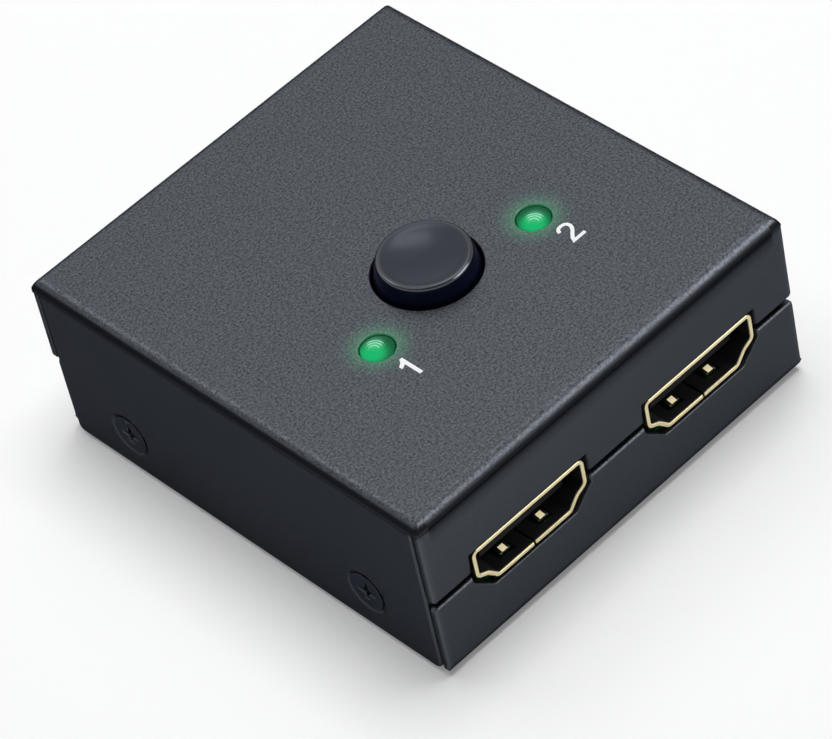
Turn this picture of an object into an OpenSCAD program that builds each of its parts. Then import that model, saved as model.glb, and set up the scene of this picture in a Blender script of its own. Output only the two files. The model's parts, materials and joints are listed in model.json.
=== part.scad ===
// Two-way video switch box. A folded sheet-steel cover sits on a folded tray. Inside, a circuit
// board carries three video sockets, a latching push switch and two indicator lamps.
// Lengths are in millimetres. X runs right along the face with two sockets, Y to the rear, Z up.
// The origin is at the middle of the underside.

/* [Case] */
// Width of the case along X
case_w = 49.4; // [44:0.2:60]
// Depth of the case along Y
case_d = 53.8; // [47:0.2:64]
// Height of the case without the button
case_h = 20.9; // [18.5:0.1:25]
// Thickness of the sheet steel
sheet_t = 0.8; // [0.6:0.1:1]
// Outside radius of the folds
bend_r = 1.5; // [1.2:0.1:2]
// Lower edge of the cover's front and rear flaps over the sockets' middle
cover_seam = 0.525; // [0.3:0.025:1]
// Gap between the cover's and the tray's front and rear flaps
seam_gap = 0.7; // [0.4:0.05:1]
// Height of the cover's side flaps above the table
side_flap_z = 0.4; // [0.2:0.1:1]
// Slot between a front flap's back and a side flap's edge
corner_gap = 0.25; // [0.2:0.05:0.8]
// How far the front and rear flaps stop short of the side faces
flap_inset = 0.1; // [0.05:0.05:0.4]
// How far the tray's rear flap stops short of the side faces
rear_flap_inset = 0.5; // [0.2:0.1:1]
// Gap between the tray and the inside of the cover's sides
side_gap = 0.2; // [0.1:0.1:0.4]
// Corner radius of the tray's flaps at the bottom
tray_corner_r = 1.2; // [0.8:0.1:1.6]
// Corner radius of the flaps at the seam
seam_corner_r = 0.5; // [0.3:0.1:1]
// Corner radius of the cover's side flaps at the bottom
side_corner_r = 0.9; // [0.5:0.1:1.5]

/* [Case screws] */
// Distance of the side screws from the front and rear faces
side_screw_inset = 10.15; // [8:0.05:12]
// Height of the side screws above the table
side_screw_z = 5.25; // [4.6:0.05:5.5]
// Radius of the countersunk head
head_r = 2.25; // [2.1:0.05:2.4]
// Gap between a head and the rim of its dished hole
dish_gap = 0.45; // [0.3:0.05:0.6]
// Depth of the dish over the head's seat
dish_d = 0.4; // [0.3:0.05:0.5]
// Clearance between the head's cone and its seat
cone_gap = 0.03; // [0.02:0.01:0.05]
// How far the heads sit below the face of the cover
head_sink = 0.05; // [0:0.05:0.2]
// Height of the conical part of the head
head_cone_h = 0.9; // [0.8:0.05:1]
// Radius of all screw shanks
shank_r = 1.2; // [1:0.05:1.3]
// Length of the side screws over the head
side_screw_len = 3.45; // [3.2:0.05:3.6]
// Width of the tray's screw lugs
lug_w = 6.4; // [5:0.2:8]
// Height of the tray's screw lugs over the heads
lug_over = 0.75; // [0.3:0.05:1.5]
// Clearance round a shank in its hole
shank_gap = 0.05; // [0.02:0.01:0.1]
// Arm length of the cross recess
cross_l = 2.2; // [2:0.1:2.4]
// Arm width of the cross recess
cross_w = 0.5; // [0.4:0.05:0.7]
// Depth of the cross recess
cross_d = 0.7; // [0.5:0.1:0.8]

/* [Circuit board] */
// Gap between the board and the ends of the side screws
board_side_gap = 0.3; // [0.2:0.1:1]
// Gap between the board and the front and rear flaps
board_gap = 0.3; // [0.2:0.1:0.6]
// Thickness of the board
board_t = 1.6; // [1.2:0.4:1.6]
// Depth of the board's upper face under the top of the cover
board_drop = 14; // [13.8:0.05:14.5]
// Gap between a board screw and its hole in the board
board_hole_gap = 0.25; // [0.15:0.05:0.4]
// Distance of the board screws from the sides of the board
post_edge = 3.3; // [2.9:0.1:3.6]
// Distance of the front board screws from the front face
post_front = 15.7; // [15.2:0.1:16.4]
// Distance of the rear board screws from the rear face
post_rear = 5.1; // [4.4:0.1:7]
// Radius of the standoffs
post_r = 2.4; // [2.2:0.1:2.8]
// Radius of the standoffs' rivet ends in the tray
post_rivet_r = 1.9; // [1.7:0.1:2.1]
// Radius of the board screws' heads
pan_r = 2.2; // [2:0.1:2.5]
// Height of the board screws' heads
pan_h = 1.5; // [1.2:0.1:1.8]
// Height of the board screws' ends above the table
board_screw_end = 1.9; // [1:0.1:2.5]

/* [Video sockets] */
// Distance of the two front sockets' middles from the sides of the case
socket_side = 13.05; // [12.6:0.05:14]
// Position of the rear socket along X
rear_socket_x = 0; // [-6:0.5:6]
// Width of the socket's opening
opening_w = 14; // [13.9:0.05:14.1]
// Height of the socket's opening
opening_h = 4.55; // [4.5:0.05:4.6]
// Width of the opening along its lower edge
opening_low_w = 9.44; // [9.2:0.02:9.8]
// Half of the opening's width at the waist of its flanks
waist_x = 5.85; // [5.7:0.05:6]
// Height of the waist over the middle of the opening
waist_z = -1.03; // [-1.2:0.01:-0.9]
// Lower end of the opening's upright sides over its middle
side_low_z = -0.47; // [-0.6:0.01:-0.3]
// Thickness of the socket's shell
shell_t = 0.45; // [0.3:0.05:0.45]
// Length of the shell
shell_len = 10.9; // [10.5:0.1:11.2]
// How far the shell's mouth sits behind the face of the case
mouth_inset = 0.1; // [0:0.05:0.3]
// Width of the shell's joint
joint_w = 0.2; // [0.1:0.05:0.3]
// Distance of the shell's spring fingers from the middle
finger_x = 2.55; // [2.3:0.05:2.8]
// Width of a spring finger
finger_w = 1.3; // [1:0.1:1.5]
// Thickness of a spring finger
finger_t = 0.3; // [0.2:0.05:0.3]
// Gap beside a spring finger
finger_gap = 0.3; // [0.2:0.05:0.4]
// Distance of a finger's tip behind the mouth
finger_tip_y = 1.4; // [1.2:0.05:2.3]
// Distance of a finger's hump behind the mouth
finger_hump_y = 2.4; // [2.2:0.1:3.5]
// Gap between a finger's root and the insulator's block
finger_root_gap = 0.7; // [0.4:0.1:1.2]
// Height of a finger's hump over the shell's inner face
finger_hump = 0.42; // [0.3:0.02:0.5]
// Width of a solder tab
tab_w = 1; // [0.8:0.1:1.2]
// Distance of the front solder tabs behind the mouth
tab_front = 3.7; // [3:0.1:4.5]
// Distance of the rear solder tabs from the end of the shell
tab_rear = 1.6; // [1:0.1:2.2]
// Reach of the solder tabs under the board
tab_reach = 0.5; // [0.3:0.1:0.8]
// Clearance round tabs and pins in the board
hole_gap = 0.2; // [0.15:0.05:0.3]
// Width of the socket's tongue
tongue_w = 11.2; // [10.8:0.1:11.4]
// Thickness of the socket's tongue
tongue_t = 1.1; // [1:0.05:1.2]
// Height of the tongue's middle over the middle of the opening
tongue_z = 0.25; // [0.2:0.05:0.3]
// Distance of the tongue's tip behind the mouth
tongue_y = 1.4; // [1.2:0.1:1.8]
// Length of the insulator's block
block_d = 2.6; // [2:0.1:2.8]
// How far the block's rear face sits inside the shell's end
block_inset = 0.1; // [0:0.05:0.4]
// Number of contacts in a socket
contact_n = 19; // [17:2:19]
// Spacing of the contacts over both rows
contact_pitch = 0.5; // [0.45:0.05:0.5]
// Width of a contact
contact_w = 0.3; // [0.2:0.05:0.3]
// Thickness of a contact
contact_t = 0.2; // [0.15:0.05:0.2]
// How far a contact stands out of the tongue
contact_lift = 0.1; // [0.05:0.05:0.15]
// Front end of the contacts behind the mouth
contact_y = 2; // [1.9:0.1:2.4]
// Gap between the shell's end and the contacts' legs
contact_leg_gap = 0.1; // [0.05:0.05:0.3]
// Length of the contacts' feet
contact_foot = 1.4; // [0.8:0.1:1.8]

/* [Cut-outs for the sockets] */
// Gap beside the shell in a cut-out
cut_side_gap = 0.4; // [0.3:0.05:0.6]
// Gap over the shell in a cut-out
cut_top_gap = 0.225; // [0.15:0.025:0.5]
// Gap under the shell in a cut-out
cut_low_gap = 0.375; // [0.2:0.025:0.6]
// Gap at the ends of the shell's lower edge in a cut-out
cut_end_gap = 0.33; // [0.2:0.01:0.6]
// How much lower a cut-out's upright sides end than the shell's
cut_side_drop = 0.48; // [0.4:0.01:0.6]

/* [Button] */
// Position of the button along X
button_x = -0.4; // [-1:0.05:1]
// Position of the button along Y
button_y = -4.2; // [-4.5:0.05:-3.5]
// Radius of the button at the cover
button_r = 5.2; // [4.9:0.05:5.4]
// Radius of the button at its top
button_top_r = 4.7; // [4.4:0.05:4.9]
// Height of the button over the cover
button_rise = 2; // [1.9:0.1:2.4]
// Depth of the dish in the button's top
button_dish = 0.35; // [0.2:0.05:0.5]
// Width of the rim round the dish
button_rim = 0.35; // [0.2:0.05:0.6]
// Gap between the button and the hole in the cover
button_gap = 0.35; // [0.3:0.05:0.5]
// Height of the button's skirt under the cover's top
skirt_h = 4.1; // [3.9:0.1:4.4]
// Thickness of the button's skirt
skirt_t = 1; // [0.8:0.1:1.2]
// Thickness of the button's top under its edge
crown_t = 1.7; // [1.5:0.1:2]
// Radius of the boss inside the button
boss_r = 2.9; // [2.8:0.1:3.2]
// Travel of the button
travel = 1.8; // [1.2:0.1:1.8]

/* [Push switch] */
// Width of the switch
switch_w = 8.5; // [8.3:0.1:8.8]
// Height of the switch's base
switch_base_h = 1.2; // [1:0.1:1.3]
// Gap between the pressed button's skirt and the switch
skirt_clear = 0.7; // [0.4:0.1:1]
// Thickness of the switch's walls
switch_wall = 0.7; // [0.6:0.05:0.7]
// Thickness of the switch's roof
switch_roof = 0.8; // [0.6:0.1:0.9]
// Gap between the bridges on the slider and the pins
slide_gap = 0.3; // [0.2:0.05:0.4]
// Height of the plunger's slider
slider_h = 3; // [2.9:0.1:3.1]
// Width of the plunger's stem
stem_w = 3.4; // [3.2:0.1:3.6]
// Depth of the stem's end under the rim of the button
stem_cover = 3.1; // [2.4:0.1:3.5]
// Gap round the stem in the roof
stem_gap = 0.2; // [0.15:0.05:0.3]
// Gap round the stem in the button
seat_gap = 0.05; // [0.02:0.01:0.1]
// Mean radius of the switch's spring
spring_r = 1.2; // [1.1:0.05:1.25]
// Radius of the spring's wire
spring_wire_r = 0.15; // [0.1:0.01:0.16]
// Turns of the spring
spring_turns = 5; // [4:1:6]
// Gap round the spring in its pocket in the slider
pocket_gap = 0.25; // [0.15:0.05:0.35]
// Depth of the spring's pocket in the slider
pocket_d = 1.6; // [1.4:0.1:1.8]
// Gap between the spring and the post inside it
spring_post_gap = 0.3; // [0.2:0.05:0.4]
// Height of the post inside the spring
spring_post_h = 0.9; // [0.6:0.1:1]
// Spacing of the switch's pins along Y
pin_pitch = 2.5; // [2.3:0.1:2.6]
// Thickness of a pin
pin_t = 0.25; // [0.2:0.05:0.3]
// Width of a pin
pin_w = 0.6; // [0.5:0.05:0.7]
// Height of a pin's blade over the switch's base
pin_blade_h = 1.2; // [0.8:0.1:1.4]
// Reach of the pins under the board
pin_reach = 0.9; // [0.6:0.1:1.2]
// Radius of the board's holes for pins and lamp legs
pin_hole_r = 0.5; // [0.45:0.05:0.6]
// Thickness of a bridge
bridge_t = 0.2; // [0.15:0.05:0.25]
// Length of a bridge
bridge_l = 4.4; // [4:0.1:4.6]
// Height of a bridge
bridge_h = 1.5; // [1.2:0.1:1.6]
// Width of a bridge's legs and the height of its bar
bridge_leg = 0.7; // [0.5:0.1:0.8]
// Gap under a bridge to the slider's lower edge
bridge_z = 0.15; // [0.1:0.05:0.3]
// Radius of the latch wire
latch_r = 0.2; // [0.15:0.01:0.22]
// Depth of the latch wire's foot in the switch's base
latch_foot = 0.6; // [0.4:0.1:0.8]
// Height of the latch wire's hook over the slider's lower edge
latch_z = 0.6; // [0.55:0.01:0.65]
// Width of the latch track
track_w = 1; // [0.9:0.05:1.1]
// Depth of the latch track
track_d = 0.85; // [0.75:0.05:0.9]
// Solid left over and under the latch track
track_end = 0.15; // [0.1:0.01:0.2]

/* [Indicator lamps] */
// Distance of the lamps from the middle along X
lamp_x = 10.6; // [10.4:0.05:11]
// Position of the lamps along Y
lamp_y = -7.75; // [-8:0.05:-7]
// Radius of the lamps
lamp_r = 1.7; // [1.6:0.05:1.75]
// Gap round a lamp in its hole
lamp_gap = 0.12; // [0.1:0.01:0.3]
// How far the lamps' tips sit below the cover's top
lamp_sink = 0.05; // [0:0.05:0.4]
// Height of the crown of a lamp's nearly flat tip
lamp_crown = 0.1; // [0.05:0.05:0.3]
// Height of a lamp
lamp_h = 5.3; // [5:0.1:5.5]
// Radius of a lamp's flange
lamp_flange_r = 2; // [1.9:0.05:2.1]
// Height of a lamp's flange
lamp_flange_h = 1; // [0.8:0.1:1.2]
// Thickness of a lamp's legs
leg_t = 0.5; // [0.4:0.05:0.5]
// Spacing of a lamp's legs
leg_pitch = 2.54; // [2.5:0.01:2.6]
// Height of the legs inside the lamp
leg_in = 2.2; // [1.5:0.1:2.6]
// Width of the anvil on one leg
anvil_w = 1.1; // [0.8:0.1:1.2]
// Height of the anvil on one leg
anvil_h = 0.8; // [0.5:0.1:0.9]

/* [Board parts] */
// Position of the routing chip along X
chip_x = -0.25; // [-1:0.05:1]
// Width of the routing chip
chip_w = 7; // [6:0.5:7]
// Thickness of the routing chip
chip_t = 1; // [0.8:0.1:1.4]
// Gap between the routing chip and the board
chip_lift = 0.1; // [0.05:0.05:0.15]
// Number of leads on a side of the routing chip
lead_n = 12; // [8:1:12]
// Spacing of the chip's leads
lead_pitch = 0.5; // [0.4:0.05:0.5]
// Width of a lead
lead_w = 0.22; // [0.15:0.01:0.25]
// Thickness of a lead
lead_t = 0.15; // [0.1:0.01:0.18]
// Reach of a lead beyond the chip
lead_reach = 1; // [0.8:0.1:1.2]
// Length of a chip resistor or capacitor
chip_part_l = 1.6; // [1:0.1:2]
// Width of a chip resistor or capacitor
chip_part_w = 0.8; // [0.5:0.1:1.2]
// Height of a chip resistor
resistor_h = 0.45; // [0.35:0.05:0.6]
// Height of a chip capacitor
capacitor_h = 0.8; // [0.6:0.1:1]
// Positions of the chip resistors from the middle of the routing chip
resistor_at = [[-14.2, -11.4], [-14.2, -9.4], [14.2, -11.4], [14.2, -9.4],
    [-7.8, -3], [-7.8, -1], [7.8, -3], [7.8, -1]];
// Positions of the chip capacitors from the middle of the routing chip
capacitor_at = [[-7.8, 1], [-7.8, 3], [7.8, 1], [7.8, 3], [-11.8, -3], [11.8, -3]];
// Positions of the supply diodes from the middle of the routing chip
diode_at = [[-11.8, 2.4], [11.8, 2.4], [-11.3, 10.4]];
// Length, width and height of a supply diode
diode_size = [2.7, 1.6, 1.15];

/* [Hidden] */
$fn = 96;
over = 1;

hw = case_w / 2;
hd = case_d / 2;
hh = opening_h / 2;
flap_edge_gap = sheet_t + corner_gap;
flap_edge_y = hd - flap_edge_gap;
flap_room = flap_edge_gap + over;
tray_half = hw - sheet_t - side_gap;
side_screw_y = hd - side_screw_inset;
dish_r = head_r + dish_gap;
seat_r = head_r_at(dish_d) + cone_gap;
dish_back_r = head_r_at(sheet_t) + cone_gap;
lug_h = side_screw_z + head_r + lug_over;
board_w = 2 * (hw - head_sink - side_screw_len - board_side_gap);
board_top = case_h - board_drop;
board_bottom = board_top - board_t;
board_hole_r = shank_r + board_hole_gap;
post_x = board_w / 2 - post_edge;
post_front_y = post_front - hd;
post_rear_y = hd - post_rear;
board_d = case_d - 2 * sheet_t - 2 * board_gap;
socket_z = board_top + hh + shell_t;
board_z = board_top - socket_z;
socket_x = hw - socket_side;
cover_seam_z = socket_z + cover_seam;
tray_seam_z = cover_seam_z - seam_gap;
block_end_y = shell_len - block_inset;
block_y = block_end_y - block_d;
finger_root_y = block_y - finger_root_gap;
contact_leg_y = shell_len + contact_leg_gap + contact_t;
contact_foot_y = contact_leg_y + contact_foot;
tab_y = [tab_front, shell_len - tab_rear];
cut_w = opening_w + 2 * (shell_t + cut_side_gap);
cut_top = hh + shell_t + cut_top_gap;
cut_side = side_low_z - cut_side_drop;
cut_low_w = opening_low_w + 2 * (shell_t + cut_end_gap);
cut_low = -hh - shell_t - cut_low_gap;
button_top = case_h + button_rise;
skirt_z = case_h - skirt_h;
switch_top = skirt_z - travel - skirt_clear;
base_top = board_top + switch_base_h;
roof_z = switch_top - switch_roof;
slider_z = roof_z - slider_h;
inner_w = switch_w - 2 * switch_wall;
slider_w = inner_w - 2 * (bridge_t + pin_t + slide_gap);
pocket_r = spring_r + spring_wire_r + pocket_gap;
spring_post_r = spring_r - spring_wire_r - spring_post_gap;
crown_z = button_top - crown_t;
cup_r = button_r - skirt_t;
stem_end = button_top - stem_cover;
pin_x = inner_w / 2 - pin_t / 2;
latch_y = (slider_w + inner_w) / 4 + latch_r / 4;
lug_bore_r = head_r_at(sheet_t + side_gap) + shank_gap;
pan_edge = pan_h / 3;
tab_top = 0.3;
tab_low = board_z - board_t - tab_reach;
dish_mouth_r = button_top_r - button_rim;
dish_ball_r = (dish_mouth_r * dish_mouth_r + button_dish * button_dish) / (2 * button_dish);
latch_hook_l = latch_y - slider_w / 2 + track_d - latch_r;
leg_step = 0.35;
coil_steps = 24;
wire_sides = 8;
tongue_root = (block_end_y - block_y) / 2;
lamp_hole_r = lamp_r + lamp_gap;
lamp_top = case_h - lamp_sink;
lamp_z = lamp_top - lamp_h;
lamp_ball_r = (lamp_r * lamp_r + lamp_crown * lamp_crown) / (2 * lamp_crown);
// The routing chip lies midway between the switch and the rear socket's contacts
chip_pos = [chip_x, (button_y + switch_w / 2 + hd - mouth_inset - contact_foot_y) / 2];
quarter = 90;

// Radius of a side screw's head at a depth under the face of the cover
function head_r_at(d) =
    max(shank_r, head_r - (head_r - shank_r) * (d - head_sink) / head_cone_h);

// Outline of a socket's opening, corner by corner, from the upper left
opening = [[-opening_w / 2, hh], [opening_w / 2, hh], [opening_w / 2, side_low_z], [waist_x, waist_z],
    [opening_low_w / 2, -hh], [-opening_low_w / 2, -hh], [-waist_x, waist_z], [-opening_w / 2, side_low_z]];
// Corner radii of the opening. The waist is hollow, so its radius is negative.
opening_r = [0.3, 0.3, 0.4, -1, 0.3, 0.3, -1, 0.4];
arc_steps = 4;

function unit(v) = v / norm(v);
// The outward normal of the edge from a to b, for corners listed clockwise
function outward(a, b) = let (d = unit(b - a)) [-d[1], d[0]];
function pick(p, i) = p[(i + len(p)) % len(p)];
// All edges moved outward by g
function grown(p, g) = [for (i = [0:len(p) - 1])
    let (n = outward(pick(p, i - 1), p[i]), m = outward(p[i], pick(p, i + 1)))
    p[i] + g * (n + m) / (1 + n * m)];
// The points of one rounded corner
function corner(a, p, b, r) = let (u = unit(a - p), v = unit(b - p), w = unit(u + v), c = u * w,
    s = sqrt(1 - c * c), m = p + w * r / s, f = p + u * r * c / s - m, g = p + v * r * c / s - m)
    [for (k = [0:arc_steps]) m + r * unit(f * (arc_steps - k) + g * k)];
function rounded(p, r) = [for (i = [0:len(p) - 1])
    each corner(pick(p, i - 1), p[i], pick(p, i + 1), r[i])];
// The socket outline grown by g. Full corners get larger and hollow ones smaller.
function socket_outline(g) = rounded(grown(opening, g), [for (r = opening_r) abs(r + g)]);

// A block with its two upper edges along Y rounded
module crowned(w, d, h, r) {
    translate([-w / 2, -d / 2, 0]) cube([w, d, h - r]);
    translate([r - w / 2, -d / 2, 0]) cube([w - 2 * r, d, h]);
    for (s = [-1, 1]) translate([s * (w / 2 - r), 0, h - r]) rotate([quarter, 0, 0])
        cylinder(r = r, h = d, center = true);
}

// A block with all four upper edges rounded
module crowned_block(w, d, h, r) {
    intersection() {
        crowned(w, d, h, r);
        rotate([0, 0, quarter]) crowned(d, w, h, r);
    }
}

// The waste outside a rounded corner, cut along local Z. The corner is at the origin. turn = 0 leaves
// the solid at +X and +Y, and each further turn moves it on by a quarter.
module corner_waste(r, l, turn) {
    rotate([0, 0, turn * quarter]) difference() {
        translate([-over, -over, -l / 2]) cube([r + over, r + over, l]);
        translate([r, r, 0]) cylinder(r = r, h = l + over, center = true);
    }
}

// Corner waste for a flap that faces Y
module waste_along_y(at, turn, r, l) {
    translate(at) rotate([quarter, 0, 0]) corner_waste(r, l, turn);
}

// Corner waste for a flap that faces X
module waste_along_x(at, turn, r, l) {
    translate(at) rotate([quarter, 0, quarter]) corner_waste(r, l, turn);
}

// A block given by its middle and its size
module centred(at, size) {
    translate(at) cube(size, center = true);
}

module at_sockets(which) {
    if (which == 1) translate([-socket_x, mouth_inset - hd, socket_z]) children();
    if (which == 2) translate([socket_x, mouth_inset - hd, socket_z]) children();
    if (which == 3) rotate([0, 0, 2 * quarter])
        translate([-rear_socket_x, mouth_inset - hd, socket_z]) children();
}

// A solid that lies along Y with the given outline in X and Z
module along_y(pts, l) {
    rotate([quarter, 0, 0]) translate([0, 0, -l]) linear_extrude(height = l) polygon(pts);
}

// A solid centred on X with the given outline in Y and Z
module along_x(pts, w) {
    rotate([quarter, 0, quarter]) translate([0, 0, -w / 2]) linear_extrude(height = w) polygon(pts);
}

module socket_cut() {
    translate([0, -over - mouth_inset, 0]) along_y([[-cut_w / 2, cut_top], [cut_w / 2, cut_top],
        [cut_w / 2, cut_side], [cut_low_w / 2, cut_low], [-cut_low_w / 2, cut_low], [-cut_w / 2, cut_side]],
        sheet_t + 2 * over);
}

module top_cover() {
    color([0.2, 0.21, 0.23]) difference() {
        crowned_block(case_w, case_d, case_h, bend_r);
        translate([0, 0, -over])
            crowned_block(case_w - 2 * sheet_t, case_d - 2 * sheet_t, case_h - sheet_t + over,
                bend_r - sheet_t);
        translate([-case_w, -case_d, -over]) cube([2 * case_w, 2 * case_d, over + side_flap_z]);
        for (y = [-1, 1]) {
            // the front and rear flaps end at the seam, and the side flaps stop behind them
            translate([-case_w, y > 0 ? flap_edge_y : -flap_edge_y - flap_room, -over])
                cube([2 * case_w, flap_room, over + cover_seam_z]);
            for (x = [-1, 1]) {
                waste_along_x([x * hw, y * flap_edge_y, side_flap_z], y > 0 ? 1 : 0, side_corner_r,
                    case_w / 2);
                waste_along_y([x * (hw - flap_inset), y * hd, cover_seam_z], x > 0 ? 1 : 0, seam_corner_r,
                    2 * flap_edge_gap);
                // the slot beside a front or rear flap
                centred([x * (hw - flap_inset + over / 2), y * (flap_edge_y + flap_room / 2), case_h / 2],
                    [over, flap_room, case_h - 2 * bend_r]);
                centred([x * (hw - sheet_t / 2), y * (flap_edge_y + corner_gap / 2), case_h / 2],
                    [sheet_t + flap_inset, corner_gap, case_h - 2 * bend_r]);
            }
        }
        for (i = [1, 2, 3]) at_sockets(i) socket_cut();
        translate([button_x, button_y, case_h - sheet_t - over])
            cylinder(r = button_r + button_gap, h = sheet_t + 2 * over);
        for (x = [-lamp_x, lamp_x]) translate([x, lamp_y, case_h - sheet_t - over])
            cylinder(r = lamp_hole_r, h = sheet_t + 2 * over);
        for (s = [-1, 1], y = [-1, 1]) translate([s * (hw - sheet_t), y * side_screw_y, side_screw_z])
            rotate([0, s * quarter, 0]) {
                translate([0, 0, -over]) cylinder(r = dish_back_r, h = over);
                cylinder(r1 = dish_back_r, r2 = seat_r, h = sheet_t - dish_d);
                translate([0, 0, sheet_t - dish_d]) cylinder(r1 = seat_r, r2 = dish_r, h = dish_d);
                translate([0, 0, sheet_t]) cylinder(r = dish_r, h = over);
            }
    }
}

// A channel along X whose two lower edges are rounded
module tray_channel(w, d, h, r) {
    translate([0, 0, h]) mirror([0, 0, 1]) rotate([0, 0, quarter]) crowned(d, w, h, r);
}

module bottom_tray() {
    color([0.2, 0.21, 0.23]) difference() {
        union() {
            difference() {
                tray_channel(case_w - 2 * flap_inset, case_d, tray_seam_z, bend_r);
                translate([0, 0, sheet_t])
                    tray_channel(case_w + over, case_d - 2 * sheet_t, tray_seam_z, bend_r - sheet_t);
                for (x = [-1, 1]) {
                    centred([x * (tray_half + over), 0, tray_seam_z / 2],
                        [2 * over, 2 * (flap_edge_y + side_gap), tray_seam_z + over]);
                    centred([x * (hw - rear_flap_inset + over), hd, tray_seam_z / 2],
                        [2 * over, 2 * (flap_edge_gap - side_gap), tray_seam_z + over]);
                }
            }
            for (x = [-1, 1], y = [-1, 1])
                centred([x * (tray_half - sheet_t / 2), y * side_screw_y, lug_h / 2],
                    [sheet_t, lug_w, lug_h]);
        }
        for (x = [-1, 1]) {
            waste_along_y([x * (hw - flap_inset), -hd, 0], x > 0 ? 1 : 0, tray_corner_r, 2 * flap_edge_gap);
            waste_along_y([x * (hw - rear_flap_inset), hd, 0], x > 0 ? 1 : 0, tray_corner_r,
                2 * flap_edge_gap);
            waste_along_y([x * (hw - flap_inset), -hd, tray_seam_z], x > 0 ? 2 : 3, seam_corner_r,
                2 * flap_edge_gap);
            waste_along_y([x * (hw - rear_flap_inset), hd, tray_seam_z], x > 0 ? 2 : 3, seam_corner_r,
                2 * flap_edge_gap);
            for (y = [-1, 1]) {
                waste_along_y([x * tray_half, y * side_screw_y, 0], x > 0 ? 1 : 0, bend_r, lug_w);
                translate([x * tray_half, y * side_screw_y, side_screw_z]) rotate([0, x * quarter, 0])
                    translate([0, 0, -sheet_t - over]) cylinder(r = lug_bore_r, h = sheet_t + 2 * over);
            }
        }
        for (i = [1, 2, 3]) at_sockets(i) socket_cut();
        at_posts() translate([0, 0, -over]) cylinder(r = post_rivet_r, h = sheet_t + 2 * over);
    }
}

// A cross recess, cut down from the origin
module cross_recess() {
    centred([0, 0, 0], [cross_l, cross_w, 2 * cross_d]);
    centred([0, 0, 0], [cross_w, cross_l, 2 * cross_d]);
}

module side_screws() {
    color([0.1, 0.1, 0.11])
    for (x = [-1, 1], y = [-1, 1]) translate([x * (hw - head_sink), y * side_screw_y, side_screw_z])
        rotate([0, x * quarter, 0]) difference() {
            union() {
                translate([0, 0, -head_cone_h]) cylinder(r1 = shank_r, r2 = head_r, h = head_cone_h);
                translate([0, 0, -side_screw_len]) cylinder(r = shank_r, h = side_screw_len);
            }
            cross_recess();
        }
}

module at_posts() {
    for (x = [-1, 1], y = [post_front_y, post_rear_y]) translate([x * post_x, y, 0]) children();
}

module board_standoffs() {
    color([0.75, 0.75, 0.72]) at_posts() difference() {
        union() {
            cylinder(r = post_rivet_r, h = sheet_t);
            translate([0, 0, sheet_t]) cylinder(r = post_r, h = board_bottom - sheet_t);
        }
        translate([0, 0, -over]) cylinder(r = shank_r + shank_gap, h = board_bottom + 2 * over);
    }
}

module board_screws() {
    color([0.7, 0.7, 0.68]) at_posts() translate([0, 0, board_top]) difference() {
        union() {
            cylinder(r = pan_r, h = pan_h - pan_edge);
            translate([0, 0, pan_h - pan_edge]) cylinder(r1 = pan_r, r2 = pan_r - pan_edge, h = pan_edge);
            translate([0, 0, board_screw_end - board_top])
                cylinder(r = shank_r, h = board_top - board_screw_end);
        }
        translate([0, 0, pan_h]) cross_recess();
    }
}

module circuit_board() {
    color([0.08, 0.3, 0.18]) difference() {
        centred([0, 0, board_top - board_t / 2], [board_w, board_d, board_t]);
        at_posts() cylinder(r = board_hole_r, h = board_top + over);
        for (i = [1, 2, 3]) at_sockets(i) socket_tabs(hole_gap);
        at_pins() cylinder(r = pin_hole_r, h = board_top + over);
        for (x = [-lamp_x, lamp_x], s = [-1, 1]) translate([x + s * leg_pitch / 2, lamp_y, 0])
            cylinder(r = pin_hole_r, h = board_top + over);
    }
}

// The solder tabs of a socket, grown by g
module socket_tabs(g) {
    for (s = [-1, 1], y = tab_y)
        centred([s * (opening_w + shell_t) / 2, y, (tab_top + tab_low) / 2],
            [shell_t + 2 * g, tab_w + 2 * g, tab_top - tab_low]);
}

// Side view of a spring finger in Y and Z, in the upper wall for k = 1 and in the lower one for k = -1
function finger_points(k) = let (r = hh + (shell_t - finger_t) / 2, u = hh - finger_hump,
    v = hh - finger_hump / 2, e = finger_root_y + finger_gap)
    [[e, k * r], [finger_root_y, k * r], [finger_hump_y, k * u], [finger_tip_y, k * v],
    [finger_tip_y, k * (v + finger_t)], [finger_hump_y, k * (u + finger_t)],
    [finger_root_y, k * (r + finger_t)], [e, k * (r + finger_t)]];

module socket_shell() {
    color([0.86, 0.8, 0.62]) {
        difference() {
            union() {
                along_y(socket_outline(shell_t), shell_len);
                socket_tabs(0);
            }
            translate([0, -over, 0]) along_y(socket_outline(0), shell_len + 2 * over);
            for (s = [-1, 1], k = [-1, 1])
                centred([s * finger_x, (finger_root_y + finger_tip_y - finger_gap) / 2, k * (hh + over / 2)],
                    [finger_w + 2 * finger_gap, finger_root_y - finger_tip_y + finger_gap, 2 * over]);
            centred([0, shell_len / 2, -hh], [joint_w, shell_len + over, 2 * shell_t + over / 2]);
        }
        for (s = [-1, 1], k = [-1, 1]) translate([s * finger_x, 0, 0]) along_x(finger_points(k), finger_w);
    }
}

// The contacts of a socket, side by side over both rows
module socket_contacts() {
    color([0.9, 0.72, 0.35]) for (i = [0:contact_n - 1]) {
        z = i % 2 == 0 ? tongue_z + tongue_t / 2 + contact_lift
            : tongue_z - tongue_t / 2 - contact_lift + contact_t;
        translate([(i - (contact_n - 1) / 2) * contact_pitch, 0, 0])
            along_x([[contact_y, z], [contact_leg_y, z], [contact_leg_y, board_z + contact_t],
                [contact_foot_y, board_z + contact_t], [contact_foot_y, board_z],
                [contact_leg_y - contact_t, board_z], [contact_leg_y - contact_t, z - contact_t],
                [contact_y, z - contact_t]], contact_w);
    }
}

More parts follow.
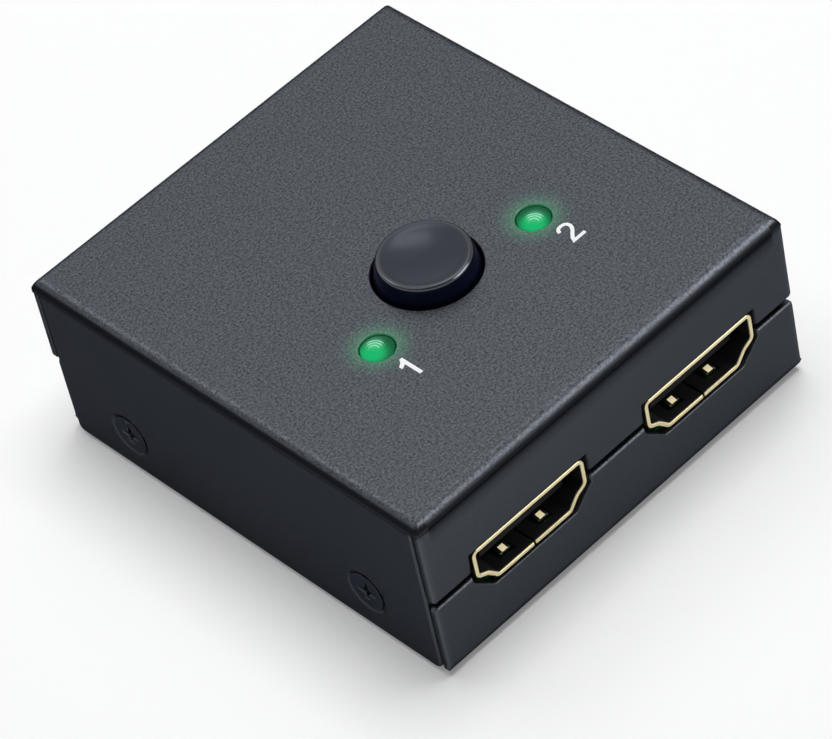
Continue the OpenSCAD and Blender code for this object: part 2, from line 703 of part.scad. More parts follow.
module socket_insulator() {
    color([0.05, 0.05, 0.06]) difference() {
        union() {
            translate([0, block_y, 0]) along_y(socket_outline(0), block_end_y - block_y);
            centred([0, (tongue_y + block_y + tongue_root) / 2, tongue_z],
                [tongue_w, block_y - tongue_y + tongue_root, tongue_t]);
        }
        socket_contacts();
    }
}

module port_1_shell() { at_sockets(1) socket_shell(); }
module port_1_insulator() { at_sockets(1) socket_insulator(); }
module port_1_contacts() { at_sockets(1) socket_contacts(); }
module port_2_shell() { at_sockets(2) socket_shell(); }
module port_2_insulator() { at_sockets(2) socket_insulator(); }
module port_2_contacts() { at_sockets(2) socket_contacts(); }
module common_port_shell() { at_sockets(3) socket_shell(); }
module common_port_insulator() { at_sockets(3) socket_insulator(); }
module common_port_contacts() { at_sockets(3) socket_contacts(); }

module at_switch() {
    translate([button_x, button_y, 0]) children();
}

module button_cap() {
    color([0.22, 0.23, 0.25]) at_switch() difference() {
        union() {
            translate([0, 0, skirt_z]) cylinder(r = button_r, h = skirt_h);
            translate([0, 0, case_h]) cylinder(r1 = button_r, r2 = button_top_r, h = button_rise);
        }
        translate([0, 0, button_top - button_dish + dish_ball_r]) sphere(r = dish_ball_r);
        difference() {
            translate([0, 0, skirt_z - over]) cylinder(r = cup_r, h = crown_z - skirt_z + over);
            translate([0, 0, skirt_z]) cylinder(r = boss_r, h = button_rise + skirt_h);
        }
        centred([0, 0, (skirt_z + stem_end) / 2 - over / 2],
            [stem_w + 2 * seat_gap, stem_w + 2 * seat_gap, stem_end - skirt_z + over]);
    }
}

module switch_plunger() {
    color([0.85, 0.85, 0.82]) at_switch() difference() {
        union() {
            centred([0, 0, slider_z + slider_h / 2], [slider_w, slider_w, slider_h]);
            centred([0, 0, (slider_z + stem_end) / 2], [stem_w, stem_w, stem_end - slider_z]);
        }
        translate([0, 0, slider_z - over]) cylinder(r = pocket_r, h = pocket_d + over);
        centred([0, slider_w / 2, slider_z + slider_h / 2], [track_w, 2 * track_d, slider_h - 2 * track_end]);
    }
}

module switch_housing() {
    color([0.07, 0.07, 0.08]) at_switch() difference() {
        centred([0, 0, (base_top + switch_top) / 2], [switch_w, switch_w, switch_top - base_top]);
        centred([0, 0, (base_top + roof_z) / 2 - over / 2], [inner_w, inner_w, roof_z - base_top + over]);
        centred([0, 0, switch_top], [stem_w + 2 * stem_gap, stem_w + 2 * stem_gap, 2 * switch_roof + over]);
    }
}

module switch_base() {
    color([0.1, 0.1, 0.11]) difference() {
        at_switch() {
            centred([0, 0, (board_top + base_top) / 2], [switch_w, switch_w, switch_base_h]);
            translate([0, 0, base_top - over / 2]) cylinder(r = spring_post_r, h = spring_post_h + over / 2);
        }
        switch_pins();
        switch_latch_wire();
    }
}

module at_pins() {
    at_switch() for (x = [-pin_x, pin_x], y = [-pin_pitch, 0, pin_pitch]) translate([x, y, 0]) children();
}

module switch_pins() {
    color([0.8, 0.78, 0.7]) at_pins()
        centred([0, 0, (board_bottom - pin_reach + base_top + pin_blade_h) / 2],
            [pin_t, pin_w, base_top + pin_blade_h - board_bottom + pin_reach]);
}

module switch_bridges() {
    l = bridge_l / 2;
    color([0.8, 0.6, 0.3]) at_switch() for (s = [-1, 1])
        translate([s * (slider_w + bridge_t) / 2, 0, slider_z + bridge_z])
            along_x([[-l, 0], [-l, bridge_h], [l, bridge_h], [l, 0], [l - bridge_leg, 0],
                [l - bridge_leg, bridge_h - bridge_leg], [bridge_leg - l, bridge_h - bridge_leg],
                [bridge_leg - l, 0]], bridge_t);
}

module switch_latch_wire() {
    z = slider_z + latch_z;
    color([0.75, 0.75, 0.75]) at_switch() translate([0, latch_y, 0]) {
        translate([0, 0, base_top - latch_foot]) cylinder(r = latch_r, h = z - base_top + latch_foot);
        translate([0, 0, z]) sphere(r = latch_r);
        translate([0, 0, z]) rotate([quarter, 0, 0]) cylinder(r = latch_r, h = latch_hook_l);
    }
}

// A coil from z = a to z = b, as rings of wire points joined along the coil
module switch_spring() {
    a = base_top + spring_wire_r;
    b = slider_z + pocket_d - spring_wire_r;
    m = spring_turns * coil_steps;
    pts = [for (i = [0:m], j = [0:wire_sides - 1]) let (t = i * 4 * quarter / coil_steps,
        w = j * 4 * quarter / wire_sides, r = spring_r + spring_wire_r * cos(w))
        [r * cos(t), r * sin(t), a + (b - a) * i / m + spring_wire_r * sin(w)]];
    sides = [for (i = [0:m - 1], j = [0:wire_sides - 1]) let (p = i * wire_sides, k = (j + 1) % wire_sides)
        [p + j, p + k, p + wire_sides + k, p + wire_sides + j]];
    color([0.8, 0.8, 0.8]) at_switch() polyhedron(points = pts, faces = concat(
        [[for (j = [wire_sides - 1:-1:0]) j]], sides, [[for (j = [0:wire_sides - 1]) m * wire_sides + j]]));
}

module lamp(x) {
    color([0.1, 0.7, 0.35, 0.8]) difference() {
        translate([x, lamp_y, 0]) {
            translate([0, 0, lamp_z]) cylinder(r = lamp_flange_r, h = lamp_flange_h);
            intersection() {
                translate([0, 0, lamp_z]) cylinder(r = lamp_r, h = lamp_h + over);
                translate([0, 0, lamp_top - lamp_ball_r]) sphere(r = lamp_ball_r);
            }
        }
        lamp_legs(x);
    }
}

// The two legs of a lamp. Inside the lamp each turns inward to a post, and one post carries the anvil.
module lamp_legs(x) {
    low = board_bottom - pin_reach;
    z = lamp_z + 2 * leg_step;
    p = anvil_w / 2;
    color([0.78, 0.78, 0.76]) translate([x, lamp_y, 0]) for (s = [-1, 1]) {
        centred([s * leg_pitch / 2, 0, (low + z) / 2], [leg_t, leg_t, z - low]);
        centred([s * (leg_pitch / 2 + leg_t / 2 + p) / 2, 0, z - leg_step / 2],
            [leg_pitch / 2 + leg_t / 2 - p, leg_t, leg_step]);
        centred([s * (p + leg_step / 2), 0, (z - leg_step + lamp_z + leg_in) / 2],
            [leg_step, leg_t, lamp_z + leg_in - z + leg_step]);
    }
    color([0.78, 0.78, 0.76]) translate([x, lamp_y, 0])
        centred([-leg_step, 0, lamp_z + leg_in - anvil_h / 2], [anvil_w, leg_t, anvil_h]);
}

module lamp_1() { lamp(-lamp_x); }
module lamp_1_legs() { lamp_legs(-lamp_x); }
module lamp_2() { lamp(lamp_x); }
module lamp_2_legs() { lamp_legs(lamp_x); }

module routing_chip() {
    color([0.06, 0.06, 0.07])
        centred([chip_pos[0], chip_pos[1], board_top + chip_lift + chip_t / 2], [chip_w, chip_w, chip_t]);
}

module routing_chip_leads() {
    z = chip_lift + chip_t / 2;
    k = lead_reach / 2;
    color([0.8, 0.8, 0.78]) translate([chip_pos[0], chip_pos[1], board_top])
        for (q = [0:3]) rotate([0, 0, q * quarter]) for (i = [0:lead_n - 1])
            translate([(i - (lead_n - 1) / 2) * lead_pitch, chip_w / 2, 0])
                along_x([[0, z], [k, z], [k, lead_t], [lead_reach, lead_t], [lead_reach, 0], [k - lead_t, 0],
                    [k - lead_t, z - lead_t], [0, z - lead_t]], lead_w);
}

module blocks_on_board(at, size) {
    for (p = at) translate([chip_pos[0] + p[0], chip_pos[1] + p[1], board_top + size[2] / 2])
        cube(size, center = true);
}

module resistors() {
    color([0.1, 0.1, 0.12]) blocks_on_board(resistor_at, [chip_part_l, chip_part_w, resistor_h]);
}

module capacitors() {
    color([0.62, 0.5, 0.36]) blocks_on_board(capacitor_at, [chip_part_l, chip_part_w, capacitor_h]);
}

module supply_diodes() {
    color([0.08, 0.08, 0.09]) blocks_on_board(diode_at, diode_size);
}

top_cover();
bottom_tray();
side_screws();
board_standoffs();
board_screws();
circuit_board();
port_1_shell();
port_1_insulator();
port_1_contacts();
port_2_shell();
port_2_insulator();
port_2_contacts();
common_port_shell();
common_port_insulator();
common_port_contacts();
button_cap();
switch_plunger();
switch_housing();
switch_base();
switch_pins();
switch_bridges();
switch_latch_wire();
switch_spring();
lamp_1();
lamp_1_legs();
lamp_2();
lamp_2_legs();
routing_chip();
routing_chip_leads();
resistors();
capacitors();
supply_diodes();
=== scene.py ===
# Dressed model of a two-way video switch box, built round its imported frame.
# Lengths are in metres. X runs right along the face with two sockets, Y to the rear and Z up.
import json
import math

import bmesh
import bpy
from bpy.props import FloatProperty, FloatVectorProperty, PointerProperty
from mathutils import Matrix, Vector
from mathutils.bvhtree import BVHTree

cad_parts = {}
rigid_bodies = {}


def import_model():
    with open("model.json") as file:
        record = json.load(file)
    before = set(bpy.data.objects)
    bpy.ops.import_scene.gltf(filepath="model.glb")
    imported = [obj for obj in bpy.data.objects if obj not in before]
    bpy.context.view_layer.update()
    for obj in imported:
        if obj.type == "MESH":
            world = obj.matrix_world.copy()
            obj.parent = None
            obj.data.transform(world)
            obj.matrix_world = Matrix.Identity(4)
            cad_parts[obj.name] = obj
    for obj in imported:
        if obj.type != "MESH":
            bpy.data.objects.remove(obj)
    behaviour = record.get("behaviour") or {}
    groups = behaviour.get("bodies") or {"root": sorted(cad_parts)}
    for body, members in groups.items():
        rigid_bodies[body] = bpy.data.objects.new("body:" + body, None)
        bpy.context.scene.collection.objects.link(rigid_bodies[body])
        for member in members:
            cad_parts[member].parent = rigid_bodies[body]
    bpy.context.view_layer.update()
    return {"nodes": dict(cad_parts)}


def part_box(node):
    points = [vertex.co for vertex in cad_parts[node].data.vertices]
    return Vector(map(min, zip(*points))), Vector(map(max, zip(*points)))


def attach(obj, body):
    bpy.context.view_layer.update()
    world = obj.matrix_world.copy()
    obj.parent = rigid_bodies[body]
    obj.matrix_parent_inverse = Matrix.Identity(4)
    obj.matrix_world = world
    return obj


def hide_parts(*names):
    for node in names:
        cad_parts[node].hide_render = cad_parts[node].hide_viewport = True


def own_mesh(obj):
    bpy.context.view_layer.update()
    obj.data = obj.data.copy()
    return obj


bl_info = {
    "name": "Video Switch Box",
    "version": (1, 0, 0),
    "blender": (4, 5, 0),
    "location": "3D View > Sidebar > Switch Box",
    "description": "Dresses the packed frame of a two-way video switch box",
    "category": "Object",
}

for leftover in list(bpy.data.objects):
    bpy.data.objects.remove(leftover)
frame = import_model()

MM = 0.001
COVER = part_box("top_cover")
TOP_Z = COVER[1].z
# Outer radius of the folds, and thickness of the sheet
FOLD_R = 1.5 * MM
SHEET = 0.8 * MM
# How far the front and rear flaps stop short of the sides, and the width of the painted highlight at
# their ends
FLAP_INSET = 0.1 * MM
END_HIGHLIGHT_REACH = 0.7 * MM
# Where the sockets' cutouts lie across the front and the rear, as distances from the middle
FRONT_CUT = (3.9 * MM, 19.4 * MM)
REAR_CUT = (-1.0 * MM, 7.75 * MM)
# How far from the middle the side screws end, along the sides
SCREW_ZONE = 20 * MM
# How close to a face a point still counts as on it
NEAR = 0.02 * MM
# Points of the frame's solids that are closer than this are one
MERGE = 0.004 * MM
# Angles at which faces count as flat, as a sharp edge to round, and as a crease in the shading
FLAT_ANGLE = math.radians(0.3)
SHARP_ANGLE = math.radians(30)
CREASE_ANGLE = math.radians(50)
# Steps in the wide rounding, and how far a rounding may leave the solid, in shares of its width
WIDE_STEPS = 4
LEEWAY = 0.45
FRONT_PORTS = ("port_1", "port_2")
ALL_PORTS = FRONT_PORTS + ("common_port",)
LAMPS = ("lamp_1", "lamp_2")
# Height of the middle of the sockets
SOCKET_Z = 9.625 * MM
# The photograph's right and up, over the top of the box
LENS_RIGHT = Vector((0.709, -0.705, 0))
LENS_UP = Vector((0.807, 0.590, 0))
# Middle of each lens's painted highlight arcs, and its brightest point, in millimetres to the right and
# up; the brightest point sits low, off the middle, which paints shade on the lens's far side
LENS_LIGHTS = (("lamp_1", (-0.34, -0.15), (-0.36, -0.65)), ("lamp_2", (0.08, -0.6), (0.12, -0.8)))
# How far above the arcs' middle the painted highlight is brightest, in millimetres, and how far down a
# lens is lit
SHEEN_RISE = 0.83
LIT_DEPTH = 0.6 * MM
LENS_STRENGTH = 0.9
# Scale of the masks on a lens, and the share of the painted highlight between its arcs
LENS_SCALE = 0.6
ARC_FLOOR = 0.15
# Share of the lamps' light on the paint that reaches the walls of their holes, and how fast light fades
WALL_GLOW = 0.3
GLOW_FALLOFF = 2.4
# Contrast of the paint's grain
GRAIN_GAIN = 2.2
# Radius of the button's top, and the low values of the round mask over it that hold the painted
# highlight on its rim
RIM_REACH = 5.2 * MM
RIM_HIGHLIGHT_SHARE = 0.007
# Faces of the button that lean more than this are its side
SIDE_RISE = 0.35
# Masks as (value, mask) stops: the painted shade in bands under the folds by their depth, a lens's
# bright middle, its painted highlight arcs and the reach of its painted sheen by distance, the grain by
# how much a face looks up, the painted highlight at the end of a flap, and the backdrop's upper part by
# height
FRONT_FOLD_SHADE = ((0.1, 0.0), (0.16, 0.35), (0.24, 0.9), (0.31, 1.0), (0.38, 0.9), (0.55, 0.35),
              (0.85, 0.0))
SIDE_FOLD_SHADE = ((0.1, 0.0), (0.13, 0.35), (0.155, 0.97), (0.24, 1.0), (0.3, 0.7), (0.38, 0.25),
             (0.48, 0.0))
LENS_CORE = ((0.0, 1.0), (0.28, 0.95), (0.42, 0.65), (0.55, 0.22), (0.7, 0.0))
LENS_ARCS = ((0.14, 0.0), (0.185, 0.9), (0.225, 0.0), (0.26, 0.0), (0.3, 1.0), (0.34, 0.0),
             (0.365, 0.0), (0.4, 1.0), (0.44, 0.0))
LENS_SHEEN = ((0.0, 1.0), (0.34, 1.0), (0.52, 0.2), (0.7, 0.0))
TOP_GRAIN = ((0.3, 0.12), (0.9, 1.0))
FLAP_END_HIGHLIGHT = ((0.0, 1.0), (0.35, 0.9), (1.0, 0.0))
UPPER_PART = ((0.0, 0.0), (0.4, 0.0), (0.62, 1.0))
# Half the width of the floor
FLOOR_REACH = 4.0
# Softboxes: name, direction and distance from the origin, width, height, the setting that holds the
# brightness, and whether it lights matt surfaces or shows in glossy coats
SOFTBOXES = (
    ("ceiling_softbox", (0.12, 0.43, 1.0), 1.1, 1.75, 1.75, "rear_light", False),
    ("left_strip_softbox", (-0.24, 0.58, 0.76), 1.0, 0.42, 0.3, "strip_light", False),
    ("middle_softbox", (0.41, 0.02, 0.9), 1.0, 0.4, 0.62, "bridge_light", False),
    ("front_softbox", (0.56, -0.62, 0.55), 0.72, 0.44, 0.36, "front_light", False),
    ("spot_softbox", (0.378, 0.422, 0.82), 0.95, 0.2, 0.12, "spot_light", False),
    ("wide_floor_softbox", (0.1, 0.28, 1.0), 1.15, 1.3, 1.3, "wide_light", True),
    ("close_floor_softbox", (0.2, 0.0, 1.0), 1.15, 0.66, 0.66, "close_light", True))
# The camera that took the photograph: its place, its axes, its focal length and width in pixels
CAMERA_AT = Vector((-180.63822, -253.25656, 316.40915)) * MM
CAMERA_RIGHT = Vector((0.6995535637, -0.6956982124, -0.1631833595))
CAMERA_UP = Vector((0.5867348150, 0.4288698745, 0.6868863717))
CAMERA_AHEAD = Vector((0.4078811940, 0.5762591675, -0.7082078110))
FOCAL_PIXELS = 4494.755
PHOTO_WIDTH = 832
SENSOR_WIDTH = 36.0


def srgb(*levels):
    """Turns screen levels from 0 to 255 into the linear values that shaders use."""
    shares = [level / 255 for level in levels]
    return tuple(c / 12.92 if c <= 0.04045 else ((c + 0.055) / 1.055) ** 2.4 for c in shares)


def colour_prop(name, description, default):
    return FloatVectorProperty(name=name, description=description, default=default,
                               subtype="COLOR", size=3, min=0, max=1)


def length_prop(name, description, default):
    return FloatProperty(name=name, description=description, default=default, min=0,
                         subtype="DISTANCE", unit="LENGTH", precision=5)


def share_prop(name, description, default):
    return FloatProperty(name=name, description=description, default=default, min=0, max=1,
                         subtype="FACTOR")


def amount_prop(name, description, default):
    return FloatProperty(name=name, description=description, default=default, min=0)


class BoxCaseSettings(bpy.types.PropertyGroup):
    paint: colour_prop("Paint", "Colour of the powder coat", (0.072, 0.0785, 0.0885))
    paint_edge: colour_prop("Paint at a slant", "Tint of the coat's gloss at a slant",
                            (0.07, 0.08, 0.13))
    paint_metal: share_prop("Metal", "How metallic the powder coat looks", 0.7)
    paint_gloss: share_prop("Gloss", "Level of the clear gloss in the powder coat", 0.01)
    paint_roughness: share_prop("Roughness", "Roughness of the powder coat", 0.36)
    grain_size: length_prop("Grain size", "Size of the grain in the powder coat", 0.24 * MM)
    grain_depth: length_prop("Grain depth", "Depth of the grain in the powder coat", 0.012 * MM)
    grain_tone: share_prop("Grain tone", "How much the grain on the top changes its tone", 0.7)
    # Painted highlight: the flaps' ends are made lighter by this share
    end_highlight: amount_prop("Edge tone", "How much lighter the flaps' ends are", 0.3)
    # Painted shade: the coat is darkened by this share in a band on the folds
    fold_shade_strength: share_prop("Fold tone", "How dark the coat is on the folds", 0.82)
    edge: length_prop("Edge rounding", "Width of the rounding on the edges of the sheet", 0.12 * MM)
    flap_edge: length_prop("Flap edge rounding", "Width of the rounding on the flaps' outer edges",
                           0.3 * MM)
    screw: colour_prop("Screws", "Colour of the side screws", (0.060, 0.066, 0.080))
    screw_edge: length_prop("Screw edge", "Width of the rounding on the screw heads", 0.1 * MM)


class BoxSocketSettings(bpy.types.PropertyGroup):
    gold: colour_prop("Gold", "Colour of the plated shells", srgb(226, 213, 170))
    # The shells' inside takes this colour as painted shade, save at the mouth and on the fingers' humps
    inner_shade: colour_prop("Inner Shade", "Colour of the shells' dark inside", srgb(7, 8, 14))
    edge: length_prop("Edge rounding", "Width of the rounding on the shells' mouths", 0.1 * MM)
    rim_depth: length_prop("Rim depth", "How far the bare plating reaches into the mouth", 0.16 * MM)
    finger_gap: length_prop("Finger place", "Distance of the spring fingers from the middle", 2.55 * MM)
    hump_depth: length_prop("Hump depth", "Distance of the fingers' bare tips from the mouth", 1.8 * MM)
    hump_size: length_prop("Hump size", "Half the length of the bare plating on a tip", 0.34 * MM)
    # The humps' light is a painted highlight, given off as emission
    hump_light: share_prop("Hump light", "Light that a finger's tip throws back", 0.75)


class BoxButtonSettings(bpy.types.PropertyGroup):
    top: colour_prop("Top", "Colour of the button's satin top", (0.036, 0.039, 0.047))
    side: colour_prop("Side", "Colour of the button's glossy side", (0.005, 0.008, 0.026))
    slant: colour_prop("Top at a slant", "Tint of the top's gloss at a slant", (0.5, 0.51, 0.55))
    # The rim's colour is a painted highlight
    rim: colour_prop("Rim", "Colour of the polished rim", (0.075, 0.079, 0.088))
    edge: length_prop("Rim rounding", "Width of the rounding on the button's rim", 0.3 * MM)


class BoxLampSettings(bpy.types.PropertyGroup):
    lens: colour_prop("Lens", "Colour of the lamps' epoxy", srgb(2, 60, 32))
    shade: colour_prop("Shade", "Light of a lamp near its rim", srgb(0, 64, 40))
    light: colour_prop("Light", "Light of a lamp at its middle", srgb(4, 182, 104))
    # The arcs on a lamp are painted highlights
    arc_highlight: colour_prop("Streaks", "Light of the arcs on a lamp", srgb(170, 250, 210))
    glow: colour_prop("Glow", "Colour of the light on the paint round a lamp", (0.04, 0.42, 0.14))
    edge: length_prop("Edge rounding", "Width of the rounding on the lenses' rims", 0.06 * MM)
    glow_reach: length_prop("Glow reach", "Distance at which the glow has faded", 4.6 * MM)


class BoxMarkSettings(bpy.types.PropertyGroup):
    ink: colour_prop("Ink", "Colour of the printed digits", srgb(240, 242, 242))
    stroke: length_prop("Stroke", "Width of the strokes of the 2", 0.38 * MM)
    thickness: length_prop("Thickness", "Thickness of the printed ink", 0.02 * MM)


class BoxStageSettings(bpy.types.PropertyGroup):
    floor: colour_prop("Floor", "Colour of the floor", (0.8, 0.8, 0.8))
    floor_lift: share_prop("Floor lift", "Light that the background adds to the floor", 0.2)
    backdrop: colour_prop("Backdrop", "Colour of the backdrop", (0.97, 0.97, 0.97))
    mirrored: colour_prop("Backdrop in gloss", "Light of the backdrop's upper part in glossy coats",
                          (0.22, 0.225, 0.24))
    horizon: colour_prop("Horizon in gloss", "Light of the backdrop's lower part in glossy coats",
                         (0.93, 0.94, 0.96))
    dim: colour_prop("Fill", "Light of the backdrop on matt surfaces", (0.02, 0.022, 0.028))
    rear_light: amount_prop("Rear softbox", "Brightness over the rear", 1.0)
    strip_light: amount_prop("Left strip", "Brightness of the strip at the rear left", 1.95)
    bridge_light: amount_prop("Middle softbox", "Brightness over the front", 1.15)
    front_light: amount_prop("Front softbox", "Brightness at the front right", 6.2)
    spot_light: amount_prop("Spot softbox", "Brightness of the small light in the button's dish", 2.0)
    wide_light: amount_prop("Wide floor light", "Brightness of the wide light on the floor", 1.68)
    close_light: amount_prop("Close floor light", "Brightness of the small light on the floor", 5.2)


SETTINGS = {"box_case": BoxCaseSettings, "box_sockets": BoxSocketSettings,
            "box_button": BoxButtonSettings, "box_lamps": BoxLampSettings,
            "box_marks": BoxMarkSettings, "box_stage": BoxStageSettings}


def settings(kind):
    return getattr(bpy.context.scene, kind)


# Shared effects

def new_group(name, inputs, outputs):
    """An empty shader node group. inputs and outputs are (name, socket type, default) rows."""
    group = bpy.data.node_groups.new(name, "ShaderNodeTree")
    for direction, rows in (("INPUT", inputs), ("OUTPUT", outputs)):
        for label, kind, default in rows:
            socket = group.interface.new_socket(name=label, in_out=direction, socket_type=kind)
            if default is not None:
                socket.default_value = default
    return group, group.nodes.new("NodeGroupInput"), group.nodes.new("NodeGroupOutput")


def node(tree, kind, **values):
    made = tree.nodes.new("ShaderNode" + kind)
    for key, value in values.items():
        if key in made.inputs:
            made.inputs[key].default_value = value
        else:
            setattr(made, key, value)
    return made


def math_node(tree, operation, a, b=None, clamp=False):
    made = tree.nodes.new("ShaderNodeMath")
    made.operation, made.use_clamp = operation, clamp
    for index, value in enumerate((a, b)):
        if isinstance(value, (int, float)):
            made.inputs[index].default_value = value
        elif value is not None:
            tree.links.new(value, made.inputs[index])
    return made.outputs[0]


def grain_effect():
    """Fine grain over the whole surface, as a height, and a slow drift, as a mask."""
    if "Fine Grain" in bpy.data.node_groups:
        return bpy.data.node_groups["Fine Grain"]
    group, given, out = new_group(
        "Fine Grain",
        [("Position", "NodeSocketVector", None), ("Size", "NodeSocketFloat", 0.3 * MM),
         ("Drift Size", "NodeSocketFloat", 12 * MM)],
        [("Height", "NodeSocketFloat", None), ("Drift", "NodeSocketFloat", None)])
    link = group.links.new
    fine = node(group, "TexNoise", Detail=3.0, Roughness=0.6)
    link(given.outputs["Position"], fine.inputs["Vector"])
    link(math_node(group, "DIVIDE", 1.0, given.outputs["Size"]), fine.inputs["Scale"])
    link(fine.outputs["Fac"], out.inputs["Height"])
    slow = node(group, "TexNoise", Detail=2.0, Roughness=0.5)
    link(given.outputs["Position"], slow.inputs["Vector"])
    link(math_node(group, "DIVIDE", 1.0, given.outputs["Drift Size"]), slow.inputs["Scale"])
    link(slow.outputs["Fac"], out.inputs["Drift"])
    return group


def blend_effect():
    """Mixes two colours by a mask."""
    if "Two Tone" in bpy.data.node_groups:
        return bpy.data.node_groups["Two Tone"]
    group, given, out = new_group(
        "Two Tone",
        [("Mask", "NodeSocketFloat", 0.5), ("First", "NodeSocketColor", None),
         ("Second", "NodeSocketColor", None)],
        [("Colour", "NodeSocketColor", None)])
    mix = node(group, "Mix", data_type="RGBA")
    group.links.new(given.outputs["Mask"], mix.inputs[0])
    group.links.new(given.outputs["First"], mix.inputs[6])
    group.links.new(given.outputs["Second"], mix.inputs[7])
    group.links.new(mix.outputs[2], out.inputs["Colour"])
    return group


def glow_effect():
    """A round mask that fades from a centre, for light that spills on a surface."""
    if "Spilt Light" in bpy.data.node_groups:
        return bpy.data.node_groups["Spilt Light"]
    group, given, out = new_group(
        "Spilt Light",
        [("Position", "NodeSocketVector", None), ("Centre", "NodeSocketVector", None),
         ("Reach", "NodeSocketFloat", 3 * MM)],
        [("Mask", "NodeSocketFloat", None)])
    link = group.links.new
    away = node(group, "VectorMath", operation="DISTANCE")
    link(given.outputs["Position"], away.inputs[0])
    link(given.outputs["Centre"], away.inputs[1])
    near = math_node(group, "DIVIDE", away.outputs["Value"], given.outputs["Reach"])
    fade = math_node(group, "SUBTRACT", 1.0, near, True)
    link(math_node(group, "POWER", fade, GLOW_FALLOFF), out.inputs["Mask"])
    return group


def ramp(tree, value, stops):
    """A mask from a value between 0 and 1, by straight lines through (value, mask) stops."""
    made = node(tree, "ValToRGB")
    spread = made.color_ramp.elements
    while len(spread) < len(stops):
        spread.new(0.5)
    for element, (place, level) in zip(spread, stops):
        element.position = place
        element.color = (level, level, level, 1)
    tree.links.new(value, made.inputs["Fac"])
    return made.outputs["Color"]


def fold_shade_effect():
    """A mask for the painted shade in a band on the folds, by the depth under the top. It is shorter at
    the sides.
    """
    if "Fold Shade Band" in bpy.data.node_groups:
        return bpy.data.node_groups["Fold Shade Band"]
    group, given, out = new_group(
        "Fold Shade Band",
        [("Position", "NodeSocketVector", None), ("Top", "NodeSocketFloat", 0.02),
         ("Side", "NodeSocketFloat", 0.02), ("Reach", "NodeSocketFloat", 4 * MM)],
        [("Mask", "NodeSocketFloat", None)])
    link = group.links.new
    axes = node(group, "SeparateXYZ")
    link(given.outputs["Position"], axes.inputs[0])
    under = math_node(group, "SUBTRACT", given.outputs["Top"], axes.outputs["Z"])
    off = math_node(group, "ABSOLUTE", axes.outputs["X"])
    at_side = math_node(group, "GREATER_THAN", off, given.outputs["Side"])
    share = math_node(group, "DIVIDE", under, given.outputs["Reach"], True)
    both = node(group, "Mix", data_type="FLOAT")
    link(at_side, both.inputs[0])
    link(ramp(group, share, FRONT_FOLD_SHADE), both.inputs[2])
    link(ramp(group, share, SIDE_FOLD_SHADE), both.inputs[3])
    link(both.outputs[0], out.inputs["Mask"])
    return group


def lens_effect():
    """Masks for a lit lens: its bright middle, set off centre so that its far side is painted as shade,
    the painted highlight arcs over it, and its upper end.
    """
    if "Lens Light" in bpy.data.node_groups:
        return bpy.data.node_groups["Lens Light"]
    group, given, out = new_group(
        "Lens Light",
        [("Position", "NodeSocketVector", None), ("Core", "NodeSocketVector", None),
         ("Arcs", "NodeSocketVector", None), ("Sheen", "NodeSocketVector", None),
         ("Radius", "NodeSocketFloat", 1.7 * MM)],
        [("Core", "NodeSocketFloat", None), ("Arcs", "NodeSocketFloat", None),
         ("Upper", "NodeSocketFloat", None)])
    link = group.links.new

    def reach(label, scale):
        """Distance over the top from a given point, in shares of the radius, times a scale."""
        away = node(group, "VectorMath", operation="SUBTRACT")
        link(given.outputs["Position"], away.inputs[0])
        link(given.outputs[label], away.inputs[1])
        flat = node(group, "VectorMath", operation="MULTIPLY")
        flat.inputs[1].default_value = (1, 1, 0)
        link(away.outputs[0], flat.inputs[0])
        length = node(group, "VectorMath", operation="LENGTH")
        link(flat.outputs[0], length.inputs[0])
        radii = math_node(group, "DIVIDE", length.outputs["Value"], given.outputs["Radius"])
        return math_node(group, "MULTIPLY", radii, scale, True)

    link(ramp(group, reach("Core", LENS_SCALE), LENS_CORE), out.inputs["Core"])
    rings = ramp(group, reach("Arcs", LENS_SCALE), LENS_ARCS)
    lifted = math_node(group, "MULTIPLY_ADD", rings, 1 - ARC_FLOOR)
    lifted.node.inputs[2].default_value = ARC_FLOOR
    near = ramp(group, reach("Sheen", 1.0), LENS_SHEEN)
    link(math_node(group, "MULTIPLY", lifted, near), out.inputs["Arcs"])
    axes = node(group, "SeparateXYZ")
    link(given.outputs["Position"], axes.inputs[0])
    link(math_node(group, "GREATER_THAN", axes.outputs["Z"], TOP_Z - LIT_DEPTH), out.inputs["Upper"])
    return group


